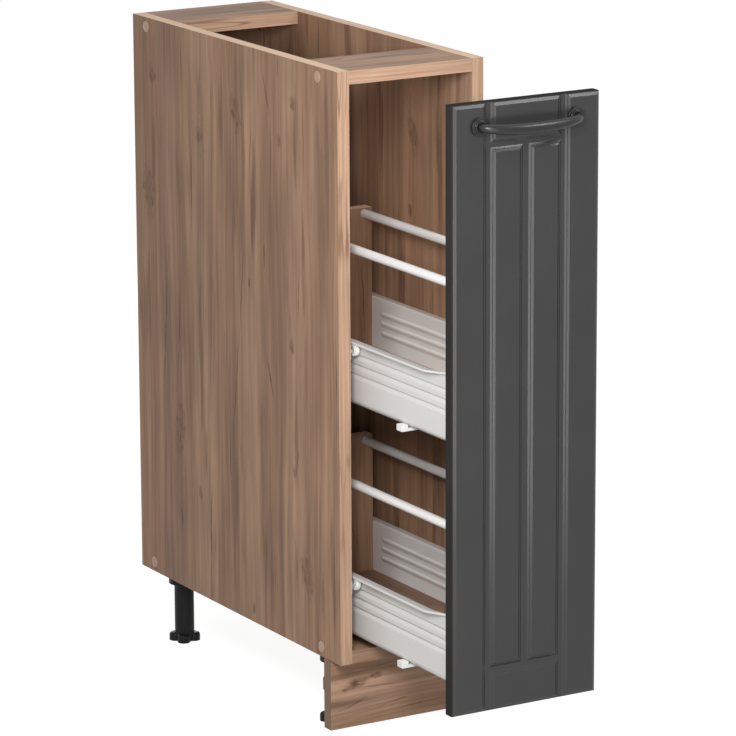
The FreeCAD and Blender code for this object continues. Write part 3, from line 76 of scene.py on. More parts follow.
class Shader:
    """One material's node tree. A value given to a call is a number, a colour or another node's socket."""

    def __init__(self, name):
        self.material = bpy.data.materials.new(name)
        self.material.use_nodes = True
        self.tree = self.material.node_tree
        self.tree.nodes.clear()
        output = self.tree.nodes.new("ShaderNodeOutputMaterial")
        self.surface = self.tree.nodes.new("ShaderNodeBsdfPrincipled")
        self.tree.links.new(self.surface.outputs["BSDF"], output.inputs["Surface"])
        coordinates = self.tree.nodes.new("ShaderNodeTexCoord")
        self.place = coordinates.outputs["Object"]
        self.facing = coordinates.outputs["Normal"]

    def feed(self, socket, value):
        """Links a socket to another, or sets its own value."""
        if isinstance(value, bpy.types.NodeSocket):
            self.tree.links.new(value, socket)
        else:
            socket.default_value = value

    def set(self, **values):
        """Feeds sockets of the surface; an underscore stands for a space in a name."""
        for name, value in values.items():
            self.feed(self.surface.inputs[name.replace("_", " ")], value)

    def math(self, operation, *values):
        """One arithmetic step."""
        node = self.tree.nodes.new("ShaderNodeMath")
        node.operation = operation
        for socket, value in zip(node.inputs, values):
            self.feed(socket, value)
        return node.outputs["Value"]

    def split(self, vector):
        """The three parts of a vector."""
        node = self.tree.nodes.new("ShaderNodeSeparateXYZ")
        self.feed(node.inputs["Vector"], vector)
        return [node.outputs[name] for name in "XYZ"]

    def vector(self, *parts):
        """A vector from three parts."""
        node = self.tree.nodes.new("ShaderNodeCombineXYZ")
        for socket, value in zip(node.inputs, parts):
            self.feed(socket, value)
        return node.outputs["Vector"]

    def stretched(self, across, along, across_rate, along_rate, layer):
        """Texture place with its own rates across and along the grain."""
        return self.vector(self.math("MULTIPLY", across, across_rate),
                           self.math("MULTIPLY", along, along_rate), layer)

    def noise(self, vector, scale=1.0, detail=2.0, roughness=0.5):
        """Soft noise from 0 to 1."""
        node = self.tree.nodes.new("ShaderNodeTexNoise")
        settings = {"Vector": vector, "Scale": scale, "Detail": detail, "Roughness": roughness}
        for name, value in settings.items():
            self.feed(node.inputs[name], value)
        return node.outputs["Fac"]

    def ease(self, value, start, end, low=0.0, high=1.0):
        """Smooth step of a value from low at start to high at end."""
        node = self.tree.nodes.new("ShaderNodeMapRange")
        node.interpolation_type = "SMOOTHSTEP"
        settings = {"Value": value, "From Min": start, "From Max": end, "To Min": low, "To Max": high}
        for name, part in settings.items():
            self.feed(node.inputs[name], part)
        return node.outputs["Result"]

    def spread(self, value, reach, middle=1.0):
        """Noise turned into a factor round a middle value."""
        offset = self.math("SUBTRACT", value, 0.5)
        return self.math("MULTIPLY_ADD", offset, reach, middle)

    def contour(self, value, half):
        """A thin line where noise is at its middle value, 1 there and 0 at half to either side."""
        offset = self.math("ABSOLUTE", self.math("SUBTRACT", value, 0.5))
        return self.ease(offset, half, 0.0)

    def dimmed(self, light, share, depth):
        """Light taken down by a depth where a share is 1."""
        return self.math("MULTIPLY", light, self.math("MULTIPLY_ADD", share, -depth, 1.0))

    def mix(self, share, first, second, kind="MIX"):
        """Blends two colours."""
        node = self.tree.nodes.new("ShaderNodeMix")
        node.data_type = "RGBA"
        node.blend_type = kind
        self.feed(node.inputs[MIX_SHARE], share)
        self.feed(node.inputs[MIX_FIRST], first)
        self.feed(node.inputs[MIX_SECOND], second)
        return node.outputs[MIX_RESULT]

    def bands(self, value, stops):
        """Colour bands over a value, from pairs of a place and a colour."""
        node = self.tree.nodes.new("ShaderNodeValToRGB")
        elements = node.color_ramp.elements
        for index, (place, colour) in enumerate(stops):
            element = elements[index] if index < len(elements) else elements.new(place)
            element.position = place
            element.color = colour
        self.feed(node.inputs["Fac"], value)
        return node.outputs["Color"]

    def nearest(self, vector, spots):
        """Distance to the nearest of some leaning ovals, 1 at an oval's edge.

        A spot gives its middle, half width and half height, and its lean.
        """
        nearest = None
        for middle_u, middle_v, half_u, half_v, lean in spots:
            node = self.tree.nodes.new("ShaderNodeMapping")
            node.vector_type = "TEXTURE"
            self.feed(node.inputs["Vector"], vector)
            node.inputs["Location"].default_value = (middle_u, middle_v, 0.0)
            node.inputs["Rotation"].default_value = (0.0, 0.0, lean)
            node.inputs["Scale"].default_value = (half_u, half_v, 1.0)
            length = self.tree.nodes.new("ShaderNodeVectorMath")
            length.operation = "LENGTH"
            self.feed(length.inputs[0], node.outputs["Vector"])
            reach = length.outputs["Value"]
            nearest = reach if nearest is None else self.math("MINIMUM", nearest, reach)
        return nearest

    def bump(self, height, strength, distance):
        """Small relief of the surface."""
        node = self.tree.nodes.new("ShaderNodeBump")
        self.feed(node.inputs["Height"], height)
        self.feed(node.inputs["Strength"], strength)
        self.feed(node.inputs["Distance"], distance)
        self.set(Normal=node.outputs["Normal"])


# Oak boards

PLANK_TONES = {
    "pale": tone(169, 135, 109),
    "tan": tone(161, 127, 101),
    "rust": tone(154, 119, 95),
    "plum": tone(145, 113, 93),
    "umber": tone(136, 104, 84),
    "sand": tone(186, 151, 126),
}
# Tones that planks are drawn from
COMMON_TONES = ("pale", "tan", "rust", "plum", "umber")
STREAK_TONE = tone(118, 88, 68)
CRACK_TONE = tone(88, 63, 49)
KNOT_TONE = tone(126, 96, 77)
KNOT_DARK = tone(84, 58, 44)
BAND_PALE = tone(209, 172, 145)
BAND_DEEP = tone(181, 145, 119)
BAND_CRACK = tone(134, 100, 79)
# Ends of a board across the grain: painted highlight on top, painted shade below, and a plain end tone
PAINTED_TOP_LIGHT = tone(232, 199, 168)
PAINTED_LOW_SHADE = tone(104, 82, 67)
PLAIN_END = tone(132, 106, 88)

# Drawn features, in millimetres and degrees, from least to most
PLANK_WIDTHS = (18, 70)
CRACK_HALVES = (15, 70)
CRACK_WIDTHS = (0.8, 1.6)
CRACK_LEANS = (-3, 3)
KNOT_WIDTHS = (3, 11)
KNOT_STRETCHES = (1.5, 2.6)
KNOT_LEANS = (-20, 20)
PLANK_SOFTNESS = 3.0 * MM

# Noises of the oak: the lines they run across and along, their rates there, layer, detail and roughness
OAK_NOISES = {
    "sway": ("u", "v", 7.0, 2.6, 0, 1.0, 0.5),
    "ripple": ("u", "v", 30.0, 26.0, 0, 2.0, 0.5),
    "fibre": ("lane", "v", 105.0, 2.6, 1, 4.0, 0.62),
    "hair": ("u", "v", 360.0, 9.0, 2, 2.0, 0.5),
    "cloud": ("lane", "v", 26.0, 1.4, 3, 3.0, 0.5),
    "patch": ("lane", "v", 16.0, 7.0, 10, 2.0, 0.5),
    "streak": ("lane", "v", 52.0, 4.2, 11, 3.0, 0.5),
    "growth": ("lane", "v", 12.0, 1.0, 4, 1.0, 0.5),
    "ring_gate": ("lane", "v", 14.0, 1.9, 5, 2.0, 0.5),
    "pore": ("jagged", "v", 560.0, 44.0, 6, 1.0, 0.5),
    "wander": ("lane", "v", 46.0, 1.3, 7, 1.0, 0.5),
    "line_gate": ("u", "v", 19.0, 5.5, 8, 2.0, 0.5),
    "broken": ("u", "v", 60.0, 34.0, 12, 2.0, 0.5),
    "speck": ("u", "v", 150.0, 70.0, 9, 3.0, 0.5),
    "scratch": ("jagged", "v", 330.0, 75.0, 13, 2.0, 0.5),
    "band_grain": ("depth", "run", 330.0, 5.0, 0, 3.0, 0.6),
    "band_split": ("depth", "run", 75.0, 4.0, 1, 1.0, 0.5),
    "band_gate": ("depth", "run", 0.0, 6.0, 2, 2.0, 0.5),
}
# Smooth steps of these noises: from, to, and where given the shares there
CLOUD_DARK_STEP = (0.50, 0.66, 0.0, 0.85)
CLOUD_PALE_STEP = (0.46, 0.30, 0.0, 0.6)
STREAK_STEP = (0.54, 0.72, 0.0, 0.90)
RING_STEP = (0.42, 0.66)
PORE_STEP = (0.66, 0.78)
LINE_STEP = (0.50, 0.70)
BROKEN_STEP = (0.30, 0.55, 0.25, 0.85)
SCRATCH_STEP = (0.50, 0.66)
BAND_STEP = (0.3, 0.72)
SPLIT_STEP = (0.43, 0.56)
# Smooth steps of the distance from a crack or a knot
CRACK_STEP = (1.3, 0.2)
KNOT_PULL_STEP = (3.2, 0.0, 0.0, 4.0)
SMEAR_STEP = (1.5, 0.3, 0.0, 0.75)
SCRATCH_FADE_STEP = (1.2, 0.5)
# Bends of the lanes, in metres
SWAY_REACH = 0.020
RIPPLE_REACH = 0.005
# Contrast of the noises
FIBRE_REACH = 1.32
HAIR_REACH = 0.30
PATCH_REACH = 0.62
SPECK_REACH = 2.2
END_REACH = 0.5
# Growth lines over a noise's whole range, their sharpness and depth
RING_COUNT = 24.0
RING_POWER = 3.0
RING_DEPTH = 0.10
PLINTH_RING_DEPTH = 0.26
PORE_DEPTH = 0.20
# Thin lines of the face and of the banding: half width in the noise, and strength
LINE_HALF = 0.014
LINE_SHARE = 0.34
SPLIT_HALF = 0.035
SPLIT_SHARE = 0.75
SCRATCH_SHARE = 0.75
# Dents of lines and cracks against the fibres
LINE_DENT = 0.8
CRACK_DENT = 1.5
# A face turned less than this to the board's thickness is an edge
EDGE_TURN = 0.55
# Share of the way across that counts into the run along an edge
RUN_SHARE = 0.8
OAK_GLOSS = 0.25
OAK_ROUGHNESS = 0.62
FIBRE_POLISH = 0.18
OAK_BUMP = 0.10
OAK_BUMP_DEPTH = 0.0005
# Steps between the layers of boards with drawn features, and the plinth's own layer
BOARD_LAYER = 17.0
PLINTH_LAYER = 5.0


def scatter(seed, width, length, crack_count, knot_count):
    """Planks, cracks and knots for a board, in millimetres, drawn from a seed."""
    dice = random.Random(seed)
    planks = []
    start = 0.0
    while start < width:
        planks.append((start, dice.choice(COMMON_TONES)))
        start += dice.uniform(*PLANK_WIDTHS)
    cracks = []
    for _ in range(crack_count):
        half = dice.uniform(*CRACK_HALVES)
        cracks.append((dice.uniform(0, width), dice.uniform(0, length), dice.uniform(*CRACK_WIDTHS), half,
                       dice.uniform(*CRACK_LEANS)))
    knots = []
    for _ in range(knot_count):
        half = dice.uniform(*KNOT_WIDTHS)
        knots.append((dice.uniform(0, width), dice.uniform(0, length), half,
                      half * dice.uniform(*KNOT_STRETCHES), dice.uniform(*KNOT_LEANS)))
    return planks, cracks, knots


def in_metres(spots):
    """Millimetres and degrees of some spots, to metres and radians."""
    return [(u * MM, v * MM, half_u * MM, half_v * MM, math.radians(lean))
            for u, v, half_u, half_v, lean in spots]


def plank_stops(planks, width):
    """Colour stops of planks side by side, with narrow soft edges."""
    stops = [(0.0, PLANK_TONES[planks[0][1]])]
    for (_, before), (start, name) in zip(planks, planks[1:]):
        place = start * MM / width
        stops.append((place - PLANK_SOFTNESS / width, PLANK_TONES[before]))
        stops.append((place + PLANK_SOFTNESS / width, PLANK_TONES[name]))
    return stops


class OakBoard(Shader):
    """Oak-decor laminate of one board. Grain and thick are the board's axes."""

    def __init__(self, board, grain, thick, layer):
        super().__init__(board + "_oak")
        low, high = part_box(board)
        across = 3 - grain - thick
        axes = self.split(self.place)
        turns = self.split(self.facing)
        self.grain_turn = turns[grain]
        self.thick_turn = turns[thick]
        self.width = high[across] - low[across]
        self.layer = layer
        u = self.math("SUBTRACT", axes[across], low[across])
        v = self.math("SUBTRACT", axes[grain], low[grain])
        depth = self.math("SUBTRACT", axes[thick], low[thick])
        run = self.math("ADD", self.math("MULTIPLY", u, RUN_SHARE), v)
        self.lines = {"u": u, "v": v, "depth": depth, "run": run}
        # The lane follows the slow bends of the grain, the jagged line its small ones too
        lane = self.math("ADD", u, self.spread(self.layered("sway"), SWAY_REACH, 0.0))
        self.lines["lane"] = lane
        self.lines["jagged"] = self.math("ADD", lane, self.spread(self.layered("ripple"), RIPPLE_REACH, 0.0))

    def layered(self, name):
        """One of the oak's noises on this board."""
        across, along, across_rate, along_rate, layer, detail, roughness = OAK_NOISES[name]
        place = self.stretched(self.lines[across], self.lines[along], across_rate, along_rate,
                               self.layer + layer)
        return self.noise(place, 1.0, detail, roughness)

    def reach(self, spots):
        """Distance to the nearest crack or knot."""
        return self.nearest(self.vector(self.lines["jagged"], self.lines["v"], 0.0), in_metres(spots))

    def planked(self, planks):
        """Colour of the planks, with clouds and long soft dark streaks."""
        cloud = self.layered("cloud")
        share = self.math("DIVIDE", self.lines["lane"], self.width)
        colour = self.bands(share, plank_stops(planks, self.width))
        colour = self.mix(self.ease(cloud, *CLOUD_DARK_STEP), colour, PLANK_TONES["umber"])
        colour = self.mix(self.ease(cloud, *CLOUD_PALE_STEP), colour, PLANK_TONES["pale"])
        return self.mix(self.ease(self.layered("streak"), *STREAK_STEP), colour, STREAK_TONE)

    def fibrous(self, fibre, knot_reach, ring_depth):
        """Light of the fibres, the growth lines and the short dark pores."""
        light = self.math("MULTIPLY", self.spread(fibre, FIBRE_REACH),
                          self.spread(self.layered("hair"), HAIR_REACH))
        light = self.math("MULTIPLY", light, self.spread(self.layered("patch"), PATCH_REACH))
        # Growth lines are contours of a slow noise, closing in round the knots
        growth = self.math("MULTIPLY", self.layered("growth"), RING_COUNT)
        if knot_reach is not None:
            growth = self.math("ADD", growth, self.ease(knot_reach, *KNOT_PULL_STEP))
        ring = self.math("POWER", self.math("FRACT", growth), RING_POWER)
        ring = self.math("MULTIPLY", ring, self.ease(self.layered("ring_gate"), *RING_STEP))
        light = self.dimmed(light, ring, ring_depth)
        return self.dimmed(light, self.ease(self.layered("pore"), *PORE_STEP), PORE_DEPTH)

    def lined(self, colour, relief):
        """Adds long thin lines that wander with the grain, in stretches."""
        line = self.math("MULTIPLY", self.contour(self.layered("wander"), LINE_HALF),
                         self.ease(self.layered("line_gate"), *LINE_STEP))
        colour = self.mix(self.math("MULTIPLY", line, LINE_SHARE), colour, CRACK_TONE)
        return colour, self.math("MULTIPLY_ADD", line, -LINE_DENT, relief)

    def cracked(self, colour, relief, cracks):
        """Adds cracks, broken along their length."""
        crack = self.ease(self.reach(cracks), *CRACK_STEP)
        broken = self.ease(self.layered("broken"), *BROKEN_STEP)
        colour = self.mix(self.math("MULTIPLY", crack, broken), colour, CRACK_TONE)
        return colour, self.math("MULTIPLY_ADD", crack, -CRACK_DENT, relief)

    def knotted(self, colour, knot_reach):
        """Adds smeared knots with dark scratches."""
        ragged = self.math("ADD", knot_reach, self.spread(self.layered("speck"), SPECK_REACH, 0.0))
        colour = self.mix(self.ease(ragged, *SMEAR_STEP), colour, KNOT_TONE)
        scratch = self.math("MULTIPLY", self.ease(self.layered("scratch"), *SCRATCH_STEP),
                            self.ease(ragged, *SCRATCH_FADE_STEP))
        return self.mix(self.math("MULTIPLY", scratch, SCRATCH_SHARE), colour, KNOT_DARK)

    def banded(self, colour, ends, painted_band_shade):
        """Adds the lighter banding of the edges, with streaks along it, and the board's two ends."""
        grain = self.layered("band_grain")
        split = self.math("MULTIPLY", self.contour(self.layered("band_split"), SPLIT_HALF),
                          self.ease(self.layered("band_gate"), *SPLIT_STEP))
        band = self.mix(self.ease(grain, *BAND_STEP), BAND_DEEP, BAND_PALE)
        band = self.mix(self.math("MULTIPLY", split, SPLIT_SHARE), band, BAND_CRACK)
        # Painted shade multiplies the banding, darkest on the bottom panel's band
        band = self.mix(1.0, band, (painted_band_shade, painted_band_shade, painted_band_shade, 1.0), "MULTIPLY")
        end_light = self.spread(grain, END_REACH)
        # End tones on upright boards: a painted highlight on the top end and painted shade on the low end
        for side, limit, end in zip(("LESS_THAN", "GREATER_THAN"), (-EDGE_TURN, EDGE_TURN), ends):
            if end is not None:
                shade = self.mix(1.0, end, end_light, "MULTIPLY")
                band = self.mix(self.math(side, self.grain_turn, limit), band, shade)
        edge = self.math("LESS_THAN", self.math("ABSOLUTE", self.thick_turn), EDGE_TURN)
        return self.mix(edge, colour, band)


def oak_material(board, grain, thick, features, ends, layer, ring_depth=RING_DEPTH, painted_band_shade=1.0):
    """Oak-decor laminate of one board, with banded edges."""
    planks, cracks, knots = features
    oak = OakBoard(board, grain, thick, layer)
    fibre = oak.layered("fibre")
    knot_reach = oak.reach(knots) if knots else None
    colour = oak.mix(1.0, oak.planked(planks), oak.fibrous(fibre, knot_reach, ring_depth), "MULTIPLY")
    colour, relief = oak.lined(colour, fibre)
    if cracks:
        colour, relief = oak.cracked(colour, relief, cracks)
    if knots:
        colour = oak.knotted(colour, knot_reach)
    oak.set(Base_Color=oak.banded(colour, ends, painted_band_shade), Specular_IOR_Level=OAK_GLOSS)
    oak.set(Roughness=oak.math("MULTIPLY_ADD", fibre, -FIBRE_POLISH, OAK_ROUGHNESS))
    oak.bump(relief, OAK_BUMP, OAK_BUMP_DEPTH)
    return oak.material


# The left side's own planks, cracks and knots: from the front edge, above the bottom edge, half width, half
# height and lean in degrees
LEFT_PLANKS = [(0, "tan"), (40, "rust"), (84, "pale"), (140, "rust"), (184, "pale"), (222, "tan"),
               (262, "rust"), (301, "pale"), (360, "tan"), (393, "plum"), (446, "rust"), (480, "tan")]
LEFT_CRACKS = [
    (166, 668, 1.4, 30, -19), (156, 590, 1.6, 54, 0), (139, 708, 1.2, 14, 0), (381, 677, 1.2, 26, 0),
    (209, 600, 1.0, 38, 4), (361, 516, 1.4, 60, 1), (80, 620, 0.9, 50, 0), (437, 312, 1.9, 95, 6),
    (398, 336, 1.6, 75, 5), (234, 420, 1.3, 56, 6), (250, 290, 1.5, 82, 7), (176, 476, 2.0, 28, -2),
    (168, 323, 2.4, 30, -16), (95, 440, 1.0, 45, 4), (7, 330, 1.6, 66, 0), (315, 342, 1.0, 80, 2),
    (318, 82, 1.9, 76, 2), (180, 90, 1.9, 50, 1), (267, 196, 1.1, 40, 2), (327, 192, 1.1, 30, 1),
    (99, 234, 1.2, 20, 12), (396, 90, 1.8, 14, -3),
]
LEFT_KNOTS = [
    (461, 650, 8, 12, -15), (247, 634, 12, 24, -18), (343, 591, 7, 10, -10), (476, 502, 15, 30, -8),
    (136, 618, 4, 8, 0), (104, 668, 7, 8, 10), (213, 430, 3, 6, 0), (113, 372, 5, 8, 0),
    (399, 205, 12, 34, 6), (75, 93, 13, 24, -18), (346, 134, 5, 8, 0), (215, 18, 4, 8, 0),
    (105, 217, 5, 7, 10),
]

# The plinth's own features: above its lower edge and from its left end
PLINTH_PLANKS = [(0, "pale"), (20, "sand"), (60, "pale")]
PLINTH_CRACKS = [(27, 29, 1.1, 24, -16), (21, 92, 0.8, 30, -5), (44, 70, 0.8, 26, 4), (12, 130, 0.7, 34, -3),
                 (60, 118, 0.8, 22, 6)]
PLINTH_KNOTS = [(52, 34, 6, 18, -10), (58, 62, 4, 10, 0)]

# The right side's planks, from its front edge
RIGHT_PLANKS = [(0, "sand"), (46, "tan"), (104, "rust"), (150, "tan"), (210, "rust"), (248, "pale"),
                (330, "tan"), (400, "rust"), (448, "tan")]

# Boards with drawn features: node, grain axis, thickness axis, how many cracks and knots, the tones of the
# low and high end (painted shade and a painted highlight on upright boards), and the painted shade of the
# banding, 1 for none
BOARDS = [
    ("right_side_panel", Z_AXIS, X_AXIS, 16, 8, (PAINTED_LOW_SHADE, PAINTED_TOP_LIGHT), 1.0),
    ("bottom_panel", Y_AXIS, Z_AXIS, 6, 3, (None, None), 0.68),
    ("front_top_rail", X_AXIS, Z_AXIS, 3, 1, (PLAIN_END, PLAIN_END), 1.0),
    ("rear_top_rail", X_AXIS, Z_AXIS, 3, 1, (PLAIN_END, PLAIN_END), 1.0),
    ("lower_base_panel", Y_AXIS, Z_AXIS, 4, 2, (PLAIN_END, PLAIN_END), 1.0),
    ("upper_base_panel", Y_AXIS, Z_AXIS, 4, 2, (PLAIN_END, PLAIN_END), 1.0),
    ("lower_rear_board", Z_AXIS, Y_AXIS, 4, 1, (PAINTED_LOW_SHADE, PAINTED_TOP_LIGHT), 1.0),
    ("upper_rear_board", Z_AXIS, Y_AXIS, 4, 1, (PAINTED_LOW_SHADE, PAINTED_TOP_LIGHT), 1.0),
]
BOARD_EDGE = 0.5
SOFT_ANGLE = 32


def paint(material, *names):
    """Gives built nodes a material."""
    for name in names:
        mesh = nodes[name].data
        mesh.materials.clear()
        mesh.materials.append(material)


def round_edges(piece, width, segments, angle):
    """Rounds the edges of a piece that are sharper than an angle, by a width in millimetres."""
    weld = piece.modifiers.new("weld", "WELD")
    weld.merge_threshold = WELD_REACH
    bevel = piece.modifiers.new("bevel", "BEVEL")
    bevel.width = width * MM
    bevel.segments = segments
    bevel.limit_method = "ANGLE"
    bevel.angle_limit = math.radians(angle)
    bevel.use_clamp_overlap = True


def dress(material, *names, width, segments=2):
    """Gives built nodes a material and rounds their hard edges."""
    paint(material, *names)
    for name in names:
        round_edges(nodes[name], width, segments, SOFT_ANGLE)
        normals = nodes[name].modifiers.new("normals", "WEIGHTED_NORMAL")
        normals.keep_sharp = False


# The left side's low end is painted shade and its top end a painted highlight
left_oak = oak_material("left_side_panel", Z_AXIS, X_AXIS, (LEFT_PLANKS, LEFT_CRACKS, LEFT_KNOTS),
                        (PAINTED_LOW_SHADE, PAINTED_TOP_LIGHT), 0.0)
dress(left_oak, "left_side_panel", width=BOARD_EDGE)
plinth_oak = oak_material("plinth_board", X_AXIS, Y_AXIS, (PLINTH_PLANKS, PLINTH_CRACKS, PLINTH_KNOTS),
                          (PLAIN_END, PLAIN_END), PLINTH_LAYER, PLINTH_RING_DEPTH)
dress(plinth_oak, "plinth_board", width=BOARD_EDGE)
for number, (board, grain, thick, crack_count, knot_count, ends, painted_band_shade) in enumerate(BOARDS, start=1):
    low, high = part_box(board)
    across = 3 - grain - thick
    width = (high[across] - low[across]) / MM
    length = (high[grain] - low[grain]) / MM
    planks, cracks, knots = scatter(number, width, length, crack_count, knot_count)
    if board == "right_side_panel":
        planks = RIGHT_PLANKS
    oak = oak_material(board, grain, thick, (planks, cracks, knots), ends, BOARD_LAYER * number,
                       painted_band_shade=painted_band_shade)
    dress(oak, board, width=BOARD_EDGE)


# Other materials

# Detail of the cloud, detail and roughness of the grain, smooth step from the first tone to the second,
# reach of the roughness, and depth of the relief in metres
CLOUD_DETAIL = 3.0
GRAIN_DETAIL = 2.0
GRAIN_ROUGHNESS = 0.6
TONE_STEP = (0.3, 0.7)
ROUGHNESS_REACH = 0.16
GRAIN_BUMP_DEPTH = 0.0002


def grained_material(name, first, second, roughness, gloss, cloud_rate, grain_rate, relief, metal):
    """A finish whose tone clouds softly between two colours, with a fine grain."""
    shader = Shader(name)
    cloud = shader.noise(shader.place, cloud_rate, CLOUD_DETAIL)
    grain = shader.noise(shader.place, grain_rate, GRAIN_DETAIL, GRAIN_ROUGHNESS)
    share = shader.math("MULTIPLY_ADD", grain, 0.5, shader.math("MULTIPLY", cloud, 0.5))
    shader.set(Base_Color=shader.mix(shader.ease(share, *TONE_STEP), first, second))
    shader.set(Roughness=shader.spread(share, ROUGHNESS_REACH, roughness), Specular_IOR_Level=gloss,
               Metallic=metal)
    shader.bump(grain, relief, GRAIN_BUMP_DEPTH)
    return shader.material


# Finishes: two tones, roughness, gloss, rates of the cloud and the grain, strength of the relief, and metal
FINISHES = {
    "front_foil": (tone(48, 48, 48), tone(53, 53, 53), 0.25, 0.40, 14.0, 1500.0, 0.05, 0.0),
    "front_edge": (tone(52, 51, 50), tone(58, 57, 56), 0.85, 0.0, 14.0, 1500.0, 0.05, 0.0),
    "handle_black": (tone(24, 24, 25), tone(31, 31, 32), 0.30, 0.42, 60.0, 1300.0, 0.12, 0.0),
    "white_steel": (tone(220, 219, 216), tone(225, 224, 221), 0.24, 0.60, 9.0, 900.0, 0.05, 0.0),
    # The rods' white, also used as painted light on the drawer sides' inner faces
    "rod_steel_and_painted_light": (tone(243, 242, 240), tone(248, 247, 245), 0.22, 0.60, 9.0, 900.0, 0.04, 0.0),
    "zinc_steel": (tone(178, 178, 174), tone(204, 203, 198), 0.32, 0.5, 180.0, 2500.0, 0.08, 1.0),
    "black_plastic": (tone(20, 21, 20), tone(27, 28, 27), 0.48, 0.15, 90.0, 1800.0, 0.10, 0.0),
    "white_plastic": (tone(240, 240, 236), tone(247, 247, 244), 0.38, 0.40, 60.0, 1600.0, 0.05, 0.0),
    "cap_plastic": (tone(176, 142, 117), tone(186, 151, 126), 0.30, 0.45, 120.0, 1600.0, 0.06, 0.0),
}
finish = {name: grained_material(name, *values) for name, values in FINISHES.items()}

PRINT_DARK = tone(110, 84, 66)
PRINT_PALE = tone(140, 110, 88)
FIBRE_DARK = tone(120, 86, 60)
FIBRE_PALE = tone(158, 120, 88)
# The print's stripes: rates across and along, detail and roughness; the flakes: rate, detail and roughness
STRIPE_RATES = (120.0, 1.6)
STRIPE_DETAIL = (4.0, 0.6)
FLAKES = (420.0, 4.0, 0.7)
BACK_GLOSS = 0.2
BACK_ROUGHNESS = 0.55
FLAKE_ROUGHNESS = 0.2
FLAKE_BUMP = 0.1
FLAKE_DEPTH = 0.0003


def back_board_material():
    """Thin fibreboard: printed wood tone inside, fibrous outside."""
    low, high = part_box("back_panel")
    shader = Shader("back_board")
    x, y, z = shader.split(shader.place)
    stripe = shader.noise(shader.stretched(x, z, *STRIPE_RATES, 0.0), 1.0, *STRIPE_DETAIL)
    printed = shader.mix(stripe, PRINT_DARK, PRINT_PALE)
    flake = shader.noise(shader.place, *FLAKES)
    fibrous = shader.mix(shader.ease(flake, *TONE_STEP), FIBRE_DARK, FIBRE_PALE)
    outside = shader.math("GREATER_THAN", y, (low.y + high.y) / 2)
    shader.set(Base_Color=shader.mix(outside, printed, fibrous), Specular_IOR_Level=BACK_GLOSS)
    shader.set(Roughness=shader.math("MULTIPLY_ADD", flake, FLAKE_ROUGHNESS, BACK_ROUGHNESS))
    shader.bump(flake, FLAKE_BUMP, FLAKE_DEPTH)
    return shader.material


dress(back_board_material(), "back_panel", width=0.3)
paint(finish["handle_black"], "handle_bow")
dress(finish["handle_black"], "handle_rosettes", width=0.7, segments=3)
for depth in ("front", "rear"):
    for side, _ in SIDES:
        dress(finish["black_plastic"], f"{depth}_{side}_leg", width=0.5)
        dress(finish["black_plastic"], f"{depth}_{side}_foot", width=0.4)
dress(finish["black_plastic"], "plinth_clips", width=0.4)
for level in LEVELS:
    for side, _ in SIDES:
        start = f"{level}_{side}_"
        dress(finish["white_steel"], start + "runner", width=0.25)
        dress(finish["rod_steel_and_painted_light"], start + "rod", width=0.4)
        dress(finish["white_plastic"], start + "cabinet_roller", start + "drawer_roller", width=0.2)
dress(finish["white_plastic"], "rod_sockets", width=0.5)
dress(finish["white_plastic"], "base_clips", width=0.6, segments=3)
dress(finish["zinc_steel"], "cabinet_roller_pins", "drawer_roller_pins", width=0.2)
paint(finish["zinc_steel"], "confirmat_screws")


# Finer pieces

# Edges sharper than this stay sharp in the shading of finer pieces
SHARP_ANGLE = 38


def ring_faces(rings, count):
    """Faces between rings of points, each ring joined to the next."""
    faces = []
    for ring in range(rings - 1):
        start = ring * count
        for step in range(count):
            after = (step + 1) % count
            faces.append([start + step, start + after, start + count + after, start + count + step])
    return faces


class Pieces:
    """Points and faces of one mesh."""

    def __init__(self):
        self.points = []
        self.faces = []

    def add(self, points, faces):
        """Joins more points and faces on."""
        start = len(self.points)
        self.points.extend(points)
        self.faces.extend([start + index for index in face] for face in faces)

    def add_rings(self, points, count):
        """Joins on rings of points that close a shape, with a lid at both ends."""
        rings = len(points) // count
        faces = ring_faces(rings, count)
        faces.append(list(range(count)))
        faces.append(list(range((rings - 1) * count, rings * count)))
        self.add(points, faces)

    def build(self, name, body, slot, replaced):
        """Makes the mesh in the slot's finish, shades it and puts it in place of built nodes."""
        mesh = bpy.data.meshes.new(name)
        mesh.from_pydata([tuple(point) for point in self.points], [], self.faces)
        work = bmesh.new()
        work.from_mesh(mesh)
        bmesh.ops.recalc_face_normals(work, faces=work.faces)
        work.to_mesh(mesh)
        work.free()
        mesh.shade_smooth()
        mesh.set_sharp_from_angle(angle=math.radians(SHARP_ANGLE))
        mesh.materials.append(finish[slot])
        piece = bpy.data.objects.new(name, mesh)
        bpy.context.scene.collection.objects.link(piece)
        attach(piece, body)
        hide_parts(*replaced)
        return piece


def turned(pieces, profile, place, steps):
    """Turned shape from a profile of radius and height, closed at both ends."""
    points = []
    for radius, height in profile:
        for step in range(steps):
            turn = 2 * math.pi * step / steps
            points.append(place @ Vector((radius * math.cos(turn), radius * math.sin(turn), height)))
    pieces.add_rings(points, steps)


def rounded_middle(points):
    """Mean of some points, rounded so that parts always sort alike."""
    return tuple(round(sum(point[axis] for point in points) / len(points), 5) for axis in range(3))


def loose_parts(name):
    """Points of each loose part of a built node."""
    work = bmesh.new()
    work.from_mesh(nodes[name].data)
    bmesh.ops.remove_doubles(work, verts=work.verts, dist=WELD_REACH)
    waiting = set(work.verts)
    parts = []
    while waiting:
        heap = [waiting.pop()]
        part = []
        while heap:
            point = heap.pop()
            part.append(point.co.copy())
            for edge in point.link_edges:
                other = edge.other_vert(point)
                if other in waiting:
                    waiting.remove(other)
                    heap.append(other)
        parts.append(part)
    work.free()
    parts.sort(key=rounded_middle)
    return parts


# Points this near to the end of a fastener lie on that end
END_DEPTH = 0.05 * MM


